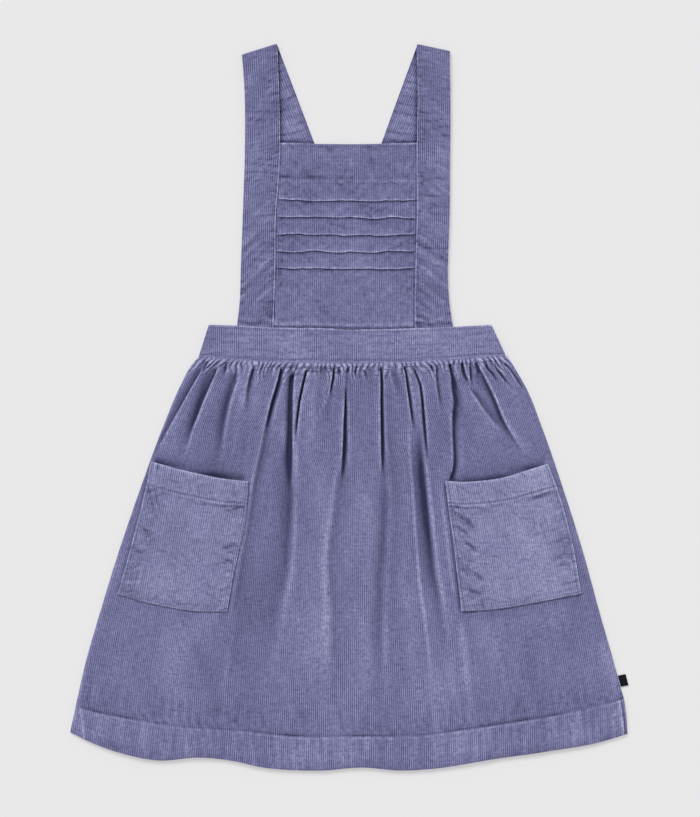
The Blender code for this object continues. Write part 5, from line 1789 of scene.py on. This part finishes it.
    def back_valleys(self, along: float, across: Array) -> Array:
        """The creases across the back run: 1 in each valley."""
        bow = 0.2 * math.sin(along / 9.0 + self.seed) + 0.55 * (across - 0.45) ** 2
        turns = along / self.back_creases + bow + 0.06 * np.sin(across * 17.0 + self.seed)
        size = 0.7 + 0.3 * np.sin(2.1 * along / self.back_creases + 4.0 * across + self.seed)
        return size * np.exp(-((np.sin(math.pi * turns) / 0.32) ** 2))


def short_crease(line: Line, tone: float = 1.0, width: float = 3.0) -> Crease:
    """A short pressed crease of a pocket, from its top down: a ridge where its tone is negative."""
    return Crease(line, width, 0.0, hold=0.6, grow=0.25, tone=tone, widening=0.0)


LEFT_POCKET_CREASES = (
    short_crease(((-91.0, -86.0), (-103.5, -90.6), (-111.2, -93.6)), 1.1),
    short_crease(((-95.8, -118.0), (-105.0, -121.5), (-113.8, -125.7))),
    short_crease(((-99.7, -132.5), (-107.0, -135.5), (-113.8, -138.5)), 0.9),
    short_crease(((-187.0, -102.0), (-181.0, -106.5), (-174.1, -114.1)), 0.8, 2.4),
    short_crease(((-195.0, -120.0), (-188.0, -125.0), (-181.8, -129.5)), 0.9),
    short_crease(((-181.8, -140.0), (-184.0, -152.0), (-186.9, -166.0)), -0.6, 1.2),
)
RIGHT_POCKET_CREASES = (
    short_crease(((86.6, -90.0), (102.2, -99.2), (111.5, -110.1)), 1.1, 2.6),
    short_crease(((90.0, -102.5), (98.0, -107.0), (106.8, -112.7)), 0.9),
    short_crease(((93.4, -115.5), (105.3, -121.0), (111.5, -129.0)), 1.1, 2.6),
    short_crease(((95.0, -131.0), (106.8, -136.0)), 0.8, 3.4),
    short_crease(((97.0, -140.5), (111.5, -147.5), (117.7, -153.7)), 1.2),
    short_crease(((100.0, -157.8), (108.0, -161.0), (117.7, -165.2)), 1.0, 3.4),
    short_crease(((180.0, -73.0), (164.6, -79.5), (152.0, -84.0)), 1.0, 3.4),
    short_crease(((194.1, -112.6), (186.0, -117.0), (178.6, -121.5)), 0.9),
    short_crease(((195.0, -127.6), (186.0, -131.5), (177.0, -135.6)), 1.2, 3.4),
    short_crease(((198.8, -134.5), (190.0, -138.0), (180.1, -142.0)), 0.8, 3.2),
    short_crease(((200.4, -151.6), (193.0, -154.0), (186.3, -157.2)), 0.9, 3.4),
)


@dataclass
class Pocket:
    """A patch pocket that follows the front panel, with a turned hem at its mouth."""

    name: str
    node: str
    cut: PocketCut
    creases: tuple[Crease, ...]
    form: SkirtForm
    tilt: float
    seed: int
    paleness: float = 0.0
    span: float = 100.0
    drop: float = 117.0
    hem: float = 20.0
    hem_step: float = 0.6
    mouth: float = 1.05
    mouth_reach: float = 14.0
    ease: float = 0.3
    lift: float = 0.35
    bridge: float = 0.12
    crease_strength: float = 1.5
    wrinkle_height: float = 0.65
    wrinkle_light_and_shade: float = 0.42
    edge_rounding: float = 0.75
    edge_wear: float = 0.38
    seam_inset: float = 2.3
    allowances: tuple[float, float] = (8.0, 14.0)
    rubbed: tuple[float, float] = (0.38, 0.12)
    seam_shade: tuple[float, float] = (0.35, 0.12)
    side_tones: tuple[float, float] = (0.0, 0.12)
    tick: tuple[float, float] = (8.0, 3.0)
    # Lines down from the hem's edge, in from a turned allowance and across the pulls at the hem's corner
    under_hem: Rows = ((0.7, 1.9, 1.0),)
    turned: Rows = ((0.4, -2.6, 1.6), (-0.55, 0.0, 0.9))
    # Painted shade in the turned hem's sunk seam, and a pale line just above it.
    hem_wear_and_shade: Rows = ((-0.32, 0.0, 0.8), (0.14, -1.8, 0.9))
    pulls: Rows = ((1.0, 0.0, 0.9), (0.8, 5.6, 1.1), (0.5, -4.6, 0.9))
    inner_columns: int = 70
    shares: Array = field(default_factory=lambda: rows_between(
        (0.0, 0.014, 0.007), (0.014, 0.15, 0.0136), (0.15, 0.22, 0.007), (0.22, 0.95, 0.0162),
        (0.95, 1.0, 0.008),
    ))

    def place(self, u: Array, share: Array) -> tuple[Array, Array]:
        """Points of the pocket in plan: u across it, share down it."""
        mouth_y = self.cut.mouth.y_at(self.cut.mouth.along(u))
        foot_y = self.cut.foot.y_at(self.cut.foot.along(u))
        y = mouth_y + share * (foot_y - mouth_y)
        left, right = self.cut.left.x_at(y[..., :1]), self.cut.right.x_at(y[..., -1:])
        return left + u * (right - left), y

    def ways_in(self, u: Array, share: Array) -> tuple[Array, Array, Array]:
        """How far a point lies below the mouth, above the foot and in from the nearer side."""
        return share * self.drop, (1.0 - share) * self.drop, np.minimum(u, 1.0 - u) * self.span

    def floor(self, u: Array, share: Array) -> Array:
        """The pocket's underside, just clear of the panel and gaping at the mouth."""
        x, y = self.place(u, share)
        ridges = [crease for crease in FRONT_CREASES if crease.depth < 0.0]
        panel = self.form.front_top(x, y, self.form.share(x, y), ridges) + self.bridge
        gape = self.mouth * np.exp(-((share * self.drop / self.mouth_reach) ** 2))
        return panel + SEAM_GAP + self.ease + gape * np.sin(math.pi * np.clip(u, 0.0, 1.0)) ** 0.7

    def top(self, u: Array, share: Array) -> Array:
        """The pocket's shown face."""
        x, y = self.place(u, share)
        down, foot, side = self.ways_in(u, share)
        hem = self.hem_step * smoothstep((self.hem + 0.8 - down) / 1.6)
        seams = 0.3 * near(side - self.seam_inset, 0.7) + 0.3 * near(foot - self.seam_inset, 0.7)
        seams = seams + 0.45 * near(down - self.hem, 0.8)
        edges = np.maximum(near(side, 0.8), np.maximum(near(down, 0.8), near(foot, 0.8)))
        soft = Ripples(seed=self.seed, height=0.24, across=30.0, down=36.0).at(x, y)
        relief = (self.wrinkle_height * self.wrinkles(u, share) + soft) * smoothstep(side / 2.0)
        cloth = self.floor(u, share) + POCKET_CLOTH + self.lift + hem
        return cloth - seams - self.edge_rounding * edges + relief

    def wrinkles(self, u: Array, share: Array) -> Array:
        """Wrinkles by the sides, under the turned hem and at its allowances: 1 on a strong ridge."""
        x, y = self.place(u, share)
        down, foot, side = self.ways_in(u, share)
        below = down - self.hem
        pulls = Ripples(seed=self.seed + 6, height=0.6, across=14.0, down=9.0, waves=10)
        reach = np.where(u < 0.5, near(side - 8.0, 10.0), near(side - 4.0, 9.0))
        sides = (np.clip(0.6 * pulls.at(x, y), -0.6, 0.1) + 1.9 * pulls.creased(x, y)) * reach
        sides = sides * (0.15 + 0.85 * smoothstep(below / 4.0))
        swing = 1.0 * np.sin(x / 9.0 + self.seed) + 0.5 * np.sin(x / 3.7)
        under = marked(below, self.under_hem) - 1.1 * near(below - 4.4 - 1.1 * swing, 1.0)
        under = under * (0.65 + 0.45 * np.sin(x / 14.0 + self.seed))
        insets = zip((u * self.span, (1.0 - u) * self.span), self.allowances)
        turned = sum(marked(edge - inset, self.turned) for edge, inset in insets)
        turned = turned * smoothstep((-1.0 - below) / 4.0) * (0.6 + 0.4 * np.sin(down / 3.0))
        tick = near(u * self.span - self.tick[0], 0.7) * near(down - self.tick[1], 2.4)
        fine = Ripples(seed=self.seed + 3, height=0.7, across=20.0, down=15.0, waves=10, line=0.8)
        blots = Ripples(seed=self.seed + 4, height=1.0, across=30.0, down=30.0)
        pressed = fine.creased(x, y) * smoothstep(0.1 + blots.field(x, y))
        at_foot = 0.5 * near(foot - 5.0 - 0.4 * swing, 1.1)
        placed = self.crease_strength * sum(crease.shade(x, y) for crease in self.creases)
        return 0.8 * sides + placed + under + turned - tick + pressed - at_foot - self._corner_pulls(u, below)

    def _corner_pulls(self, u: Array, below: Array) -> Array:
        """The creases that slant down from the turned hem's left corner: 1 on the deepest."""
        across = u * self.span
        slant = (1.5 * across - below + 1.2 * np.sin(below / 3.1 + self.seed)) / 1.8
        run = smoothstep(below / 2.0) * smoothstep((26.0 - below) / 14.0)
        return 0.9 * marked(slant, self.pulls) * near(across - 8.0, 11.0) * run

    def build(self, finish: Material) -> Piece:
        """Makes the pocket.

        Args:
            finish: The paler corduroy.

        Returns:
            The piece.
        """
        fine, shares = np.linspace(0.0, 1.0, 401), self.shares[:, None]
        rows = []
        for share in self.shares:
            x, y = self.place(fine, share)
            rows.append(x - self.tilt * (y - self.cut.mouth.spots[0][1]))
        columns = lay_columns(fine, rows)
        x, y = self._plan(columns.share, shares)
        points = grid_points(x, y, self._rows(self.top, columns.share, shares))
        upper = columns.face(points, y, self._wear_light_and_shade(columns.share, shares), Way.UP)
        u = np.linspace(0.0, 1.0, self.inner_columns + 1) + np.zeros_like(shares)
        x, y = self._plan(u, shares)
        lower = plain_face(grid_points(x, y, self._rows(self.floor, u, shares)))
        piece = dress(Wall(self.name, upper, lower).build(finish), Slot.POCKET, self.node)
        return piece

    def _wear_light_and_shade(self, u: Array, shares: Array) -> Array:
        """Rubbed paleness by the pocket's edges, painted shade in its sunk seams, and the painted light and
        shade of its wrinkles.
        """
        down, foot, side = self.ways_in(u, shares)
        rubbed, seam_shade, side_tone = (
            np.where(u < 0.5, *tones) for tones in (self.rubbed, self.seam_shade, self.side_tones)
        )
        ends = self.edge_wear * np.maximum(near(down, 1.3), near(foot, 0.9))
        wear_light_and_shade = np.maximum(rubbed * near(side, 0.9), ends)
        wear_light_and_shade = wear_light_and_shade + marked(down - self.hem, self.hem_wear_and_shade) + self.paleness
        # The wrinkles that raise and sink the cloth also paint their light and shade.
        wear_light_and_shade = wear_light_and_shade + self.wrinkle_light_and_shade * self._rows(self.wrinkles, u, shares)
        wear_light_and_shade = wear_light_and_shade + side_tone * near(side - 7.0, 8.0)
        # Painted shade in the sunk seams by the sides and the foot.
        return wear_light_and_shade - seam_shade * near(side - self.seam_inset, 0.6) - 0.3 * near(foot - self.seam_inset, 0.6)

    def _plan(self, u: Array, shares: Array) -> tuple[Array, Array]:
        """Points in plan, row by row."""
        rows = [self.place(row, share) for row, share in zip(u, shares)]
        return np.array([row[0] for row in rows]), np.array([row[1] for row in rows])

    @staticmethod
    def _rows(height: Callable, u: Array, shares: Array) -> Array:
        """A height read row by row."""
        return np.array([height(row, share) for row, share in zip(u, shares)])


@dataclass
class SideLabel:
    """A small folded tape that stands out of the right side seam, with nothing on it."""

    place: float = -241.2
    length: float = 7.0
    height: float = 9.8
    cut_width: float = 10.0
    lowest: float = 0.4
    thickness: float = 1.0
    tape: float = 0.38
    tilt: float = math.radians(11.0)
    columns: int = 12
    fold_steps: int = 8

    def build(self, finish: Material) -> Piece:
        """Makes the tape, out from the seam, round its fold and back.

        Args:
            finish: The tape.

        Returns:
            The piece.
        """
        half = self.tape / 2
        radius = (self.thickness - self.tape) / 2
        middle = self.lowest + self.thickness / 2
        straight = self.length - radius - half
        run = [(out, middle + radius, 0.0, 1.0) for out in np.linspace(0.0, straight, 7)]
        for step in range(1, self.fold_steps):
            angle = math.pi * step / self.fold_steps
            out, up = math.sin(angle), math.cos(angle)
            run.append((straight + radius * out, middle + radius * up, out, up))
        run += [(out, middle - radius, 0.0, -1.0) for out in np.linspace(straight, 0.0, 7)]
        across = np.linspace(0.5, -0.5, self.columns + 1) * self.height
        y = self.place + across
        root = SKIRT_RIGHT.x_at(y) + SEAM_GAP + SEAM_EASE
        steps = [math.dist(a[:2], b[:2]) for a, b in zip(run, run[1:])]
        lengths = np.concatenate([[0.0], np.cumsum(steps)])
        cloth = grid_points(across[None, :], lengths[:, None], 0.0)[..., :2]
        faces = []
        for side in (half, -half):
            rows = []
            for out, z, out_normal, up_normal in run:
                reach = out + side * out_normal
                rows.append(grid_points(root + reach * math.cos(self.tilt), y + reach * math.sin(self.tilt),
                                        z + side * up_normal))
            faces.append(plain_face(np.array(rows), cloth))
        piece = dress(Wall("side_label_tape", *faces).build(finish), Slot.LABEL, "side_label")
        return piece


@dataclass
class Stitching:
    """Runs of stitches, laid by Geometry Nodes along lines on the finished cloth."""

    pitch: float = 2.7
    length: float = 2.1
    width: float = 0.46
    sunk: float = 0.05

    def __post_init__(self) -> None:
        """Builds the node tree that turns a guide line into stitches."""
        tree = bpy.data.node_groups.new("stitch_run", "GeometryNodeTree")
        sockets = {"Geometry": "Geometry", "Pitch": "Float", "Length": "Float", "Width": "Float",
                   "Thread": "Material"}
        self.sockets = {}
        for name, kind in sockets.items():
            socket = tree.interface.new_socket(name=name, in_out="INPUT", socket_type=f"NodeSocket{kind}")
            self.sockets[name] = socket.identifier
        tree.interface.new_socket(name="Geometry", in_out="OUTPUT", socket_type="NodeSocketGeometry")
        nodes = tree.nodes
        entry, leave = nodes.new("NodeGroupInput"), nodes.new("NodeGroupOutput")
        curve = nodes.new("GeometryNodeMeshToCurve")
        spaced = nodes.new("GeometryNodeResampleCurve")
        spaced.mode = "LENGTH"
        tangent = nodes.new("GeometryNodeInputTangent")
        turned = nodes.new("FunctionNodeAlignRotationToVector")
        turned.axis = "X"
        bead = nodes.new("GeometryNodeMeshUVSphere")
        for name, value in (("Segments", 6), ("Rings", 4), ("Radius", 0.5)):
            bead.inputs[name].default_value = value
        size = nodes.new("ShaderNodeCombineXYZ")
        laid = nodes.new("GeometryNodeInstanceOnPoints")
        realized = nodes.new("GeometryNodeRealizeInstances")
        finished = nodes.new("GeometryNodeSetMaterial")
        for start, output, end, entrance in (
            (entry, "Geometry", curve, 0), (curve, 0, spaced, "Curve"), (entry, "Pitch", spaced, "Length"),
            (spaced, 0, laid, "Points"), (tangent, 0, turned, "Vector"), (turned, 0, laid, "Rotation"),
            (bead, "Mesh", laid, "Instance"), (entry, "Length", size, "X"), (entry, "Width", size, "Y"),
            (entry, "Width", size, "Z"), (size, 0, laid, "Scale"), (laid, 0, realized, 0),
            (realized, 0, finished, "Geometry"), (entry, "Thread", finished, "Material"),
            (finished, 0, leave, 0),
        ):
            tree.links.new(start.outputs[output], end.inputs[entrance])
        self.tree = tree

    def run(self, name: str, lines: Sequence[Array], thread: Material) -> Piece:
        """Sews along some lines.

        Args:
            name: The piece's name.
            lines: Points along each line, on the cloth.
            thread: The thread's finish.

        Returns:
            The stitches as one plain mesh.
        """
        vertices, edges = [], []
        for line in lines:
            start = len(vertices)
            vertices += (line * MM).tolist()
            edges += [(i, i + 1) for i in range(start, len(vertices) - 1)]
        guide_mesh = bpy.data.meshes.new(name + "_guide")
        guide_mesh.from_pydata(vertices, edges, [])
        guide = bpy.data.objects.new(name + "_guide", guide_mesh)
        bpy.context.scene.collection.objects.link(guide)
        modifier = guide.modifiers.new("stitches", "NODES")
        modifier.node_group = self.tree
        sizes = {"Pitch": self.pitch * MM, "Length": self.length * MM, "Width": self.width * MM}
        for socket, value in {**sizes, "Thread": thread}.items():
            modifier[self.sockets[socket]] = value
        graph = bpy.context.evaluated_depsgraph_get()
        mesh = bpy.data.meshes.new_from_object(guide.evaluated_get(graph))
        mesh.shade_smooth()
        bpy.data.objects.remove(guide)
        piece = bpy.data.objects.new(name, mesh)
        bpy.context.scene.collection.objects.link(piece)
        return dress(piece, Slot.CORDUROY)


@dataclass
class Seams:
    """Where the visible stitch lines run."""

    form: SkirtForm
    bib: Bib
    sewing: Stitching
    band_height: float = 28.0
    facing_sunk: float = 0.1

    def hem(self) -> list[Array]:
        """The line that holds the front hem."""
        u = np.linspace(0.004, 0.996, 400)
        x, y = self.form.place(u, np.full_like(u, self.form.seam_to_hem_seam))
        return [grid_points(x, y, self.form.front_top(x, y, u) - self.sewing.sunk)]

    def band(self, band: Band) -> list[Array]:
        """The lines along the waistband's top edge and its foot."""
        u = np.linspace(0.004, 0.996, 300)
        lines = []
        for down in (band.stitch_from_top, self.band_height - band.stitch_from_foot):
            share = np.full_like(u, down / self.band_height)
            x, y = band.place(u, share)
            lines.append(grid_points(x, y, band.floor + BAND_CLOTH + band.surface(u, share)))
        return lines

    def facing(self) -> list[Array]:
        """The line that holds the facing behind the bib's top edge."""
        u = np.linspace(0.012, 0.988, 160)
        x, y = self.bib.place(u, self.bib.facing, -1)
        height = self.bib.floor(x, y) + BIB_CLOTH + self.bib.wrinkles(x, y)
        return [grid_points(x, y, height - self.facing_sunk)]

    def pocket(self, pocket: Pocket) -> list[Array]:
        """The lines round a pocket's sides and foot, and across its hem."""
        side, foot = pocket.seam_inset / pocket.span, 1.0 - pocket.seam_inset / pocket.drop
        down = np.linspace(0.012, foot, 90)
        across = np.linspace(side, 1.0 - side, 80)
        path_u = np.concatenate([np.full_like(down, side), across[1:-1], np.full_like(down, 1.0 - side)])
        path_v = np.concatenate([down, np.full(len(across) - 2, foot), down[::-1]])
        hem_v = np.full_like(across, pocket.hem / pocket.drop)
        return [self._on_pocket(pocket, path_u, path_v), self._on_pocket(pocket, across, hem_v)]

    def _on_pocket(self, pocket: Pocket, u: Array, v: Array) -> Array:
        """Points on a pocket's face at these shares across and down it."""
        points = []
        for across, share in zip(u, v):
            whole = np.array([0.0, across, 1.0])
            x, y = pocket.place(whole, share)
            points.append((x[1], y[1], pocket.top(whole, share)[1]))
        return np.array(points)


@dataclass
class Studio:
    """A pale floor, soft light from above the shoulders, and a camera straight over the pinafore."""

    floor_colour: Colour = (0.8, 0.79, 0.795)
    floor_shade: float = 0.5
    floor_glow: float = 0.513
    floor_size: float = 6.0
    floor_drop: float = 0.0004
    camera_height: float = 2.6
    frame_height: float = 0.719
    centre: tuple[float, float] = (0.0006, -0.0013)
    sensor: float = 36.0
    key_power: float = 2.2
    key_softness: float = math.radians(28.0)
    key_from: tuple[float, float, float] = (-0.42, 0.85, 1.15)
    fill: float = 0.5
    fill_colour: Colour = (0.985, 0.985, 1.0)

    def build(self) -> None:
        """Makes the floor, the lights and the camera."""
        self._floor()
        self._lights()
        self._camera()

    def _floor(self) -> None:
        """The surface that the pinafore lies on."""
        half, low = self.floor_size / 2 / MM, -self.floor_drop / MM
        corners = np.array([(-half, -half, low), (half, -half, low), (half, half, low), (-half, half, low)])
        bench = Bench("studio_floor")
        bench.dial({
            "Base Color": opaque(tuple(self.floor_shade * part for part in self.floor_colour)),
            "Emission Color": opaque(self.floor_colour), "Emission Strength": self.floor_glow,
            "Roughness": 1.0, "Specular IOR Level": 0.0,
        })
        link_mesh("floor", corners, [(0, 1, 2, 3)], bench.material)

    def _lights(self) -> None:
        """A soft key from above the shoulders, a little to the left, and an even fill."""
        lamp = bpy.data.lights.new("key", "SUN")
        lamp.energy = self.key_power
        lamp.angle = self.key_softness
        key = bpy.data.objects.new("key", lamp)
        key.rotation_mode = "QUATERNION"
        key.rotation_quaternion = Vector(self.key_from).to_track_quat("Z", "Y")
        bpy.context.scene.collection.objects.link(key)
        world = bpy.data.worlds.new("fill")
        world.use_nodes = True
        background = world.node_tree.nodes["Background"]
        background.inputs["Color"].default_value = opaque(self.fill_colour)
        background.inputs["Strength"].default_value = self.fill
        bpy.context.scene.world = world
        bpy.context.scene.view_settings.view_transform = "Standard"

    def _camera(self) -> None:
        """A long lens straight down, whose frame is as tall as the whole view."""
        lens = bpy.data.cameras.new("camera")
        lens.sensor_width = self.sensor
        lens.lens = self.sensor * self.camera_height / self.frame_height
        camera = bpy.data.objects.new("camera", lens)
        camera.location = (*self.centre, self.camera_height)
        bpy.context.scene.collection.objects.link(camera)
        bpy.context.scene.camera = camera


BODY_CLOTH = CorduroyFinish(
    name="periwinkle_corduroy", crest=(0.236, 0.233, 0.415), groove=(0.116, 0.113, 0.247),
    faded_and_lit=(0.43, 0.43, 0.64), deep=(0.03, 0.029, 0.078),
)
POCKET_CLOTH_FINISH = CorduroyFinish(
    name="paler_corduroy", crest=(0.292, 0.292, 0.481), groove=(0.156, 0.156, 0.303),
    faded_and_lit=(0.5, 0.5, 0.69), deep=(0.045, 0.044, 0.105),
)
THREAD = ThreadFinish(name="sewing_thread", colour=(0.36, 0.36, 0.58), dark=(0.16, 0.16, 0.32))
TAPE = TapeFinish(name="navy_tape", colour=(0.003, 0.0035, 0.009), rib=(0.008, 0.009, 0.019))


def main() -> None:
    """Builds and dresses every piece, then the studio."""
    logging.basicConfig(level=logging.INFO, format="%(name)s: %(message)s")
    finishes = (BODY_CLOTH, POCKET_CLOTH_FINISH, THREAD, TAPE)
    body, paler, thread, tape = (finish.material() for finish in finishes)
    form, bib, sewing = SkirtForm(), Bib(), Stitching()
    front_band = Band("waistband_front_corduroy", "waistband_front", BAND_CLOTH + SEAM_GAP, Way.UP)
    pockets = (
        Pocket("pocket_left_corduroy", "pocket_left", LEFT_POCKET, LEFT_POCKET_CREASES, form,
               tilt=0.155, seed=60),
        Pocket("pocket_right_corduroy", "pocket_right", RIGHT_POCKET, RIGHT_POCKET_CREASES, form,
               tilt=-0.17, seed=70, paleness=0.05, allowances=(11.2, 10.0), tick=(11.2, 8.8),
               rubbed=(0.3, 0.6), seam_shade=(0.45, 0.35)),
    )
    straps = (
        Strap("strap_left_corduroy", "strap_left", LEFT_CUT,
              lambda x, y: (STRAP_CLOTH + SEAM_GAP) * strap_cover(RIGHT_CUT, x, y), seed=80),
        Strap("strap_right_corduroy", "strap_right", RIGHT_CUT, lambda x, y: np.zeros_like(x), seed=90),
    )
    pieces = [
        BackSkirt(form).build(body),
        FrontSkirt(form).build(body),
        Band("waistband_back_corduroy", "waistband_back", 0.0, Way.DOWN).build(body),
        front_band.build(body),
        bib.build(body),
        *(strap.build(body) for strap in straps),
        *(pocket.build(paler) for pocket in pockets),
        SideLabel().build(tape),
    ]
    seams = Seams(form, bib, sewing)
    pieces.append(sewing.run("hem_stitches", seams.hem(), thread))
    pieces.append(sewing.run("waistband_stitches", seams.band(front_band), thread))
    for pocket in pockets:
        pieces.append(sewing.run(pocket.node + "_stitches", seams.pocket(pocket), thread))
    close_sewing = Stitching(pitch=2.0, length=1.5, width=0.42)
    pieces.append(close_sewing.run("bib_facing_stitches", seams.facing(), thread))
    for strap in straps:
        pieces.append(close_sewing.run(strap.node + "_stitches", strap.sewn, thread))
    for piece in pieces:
        report(piece)
    Studio().build()


if __name__ == "__main__":
    main()
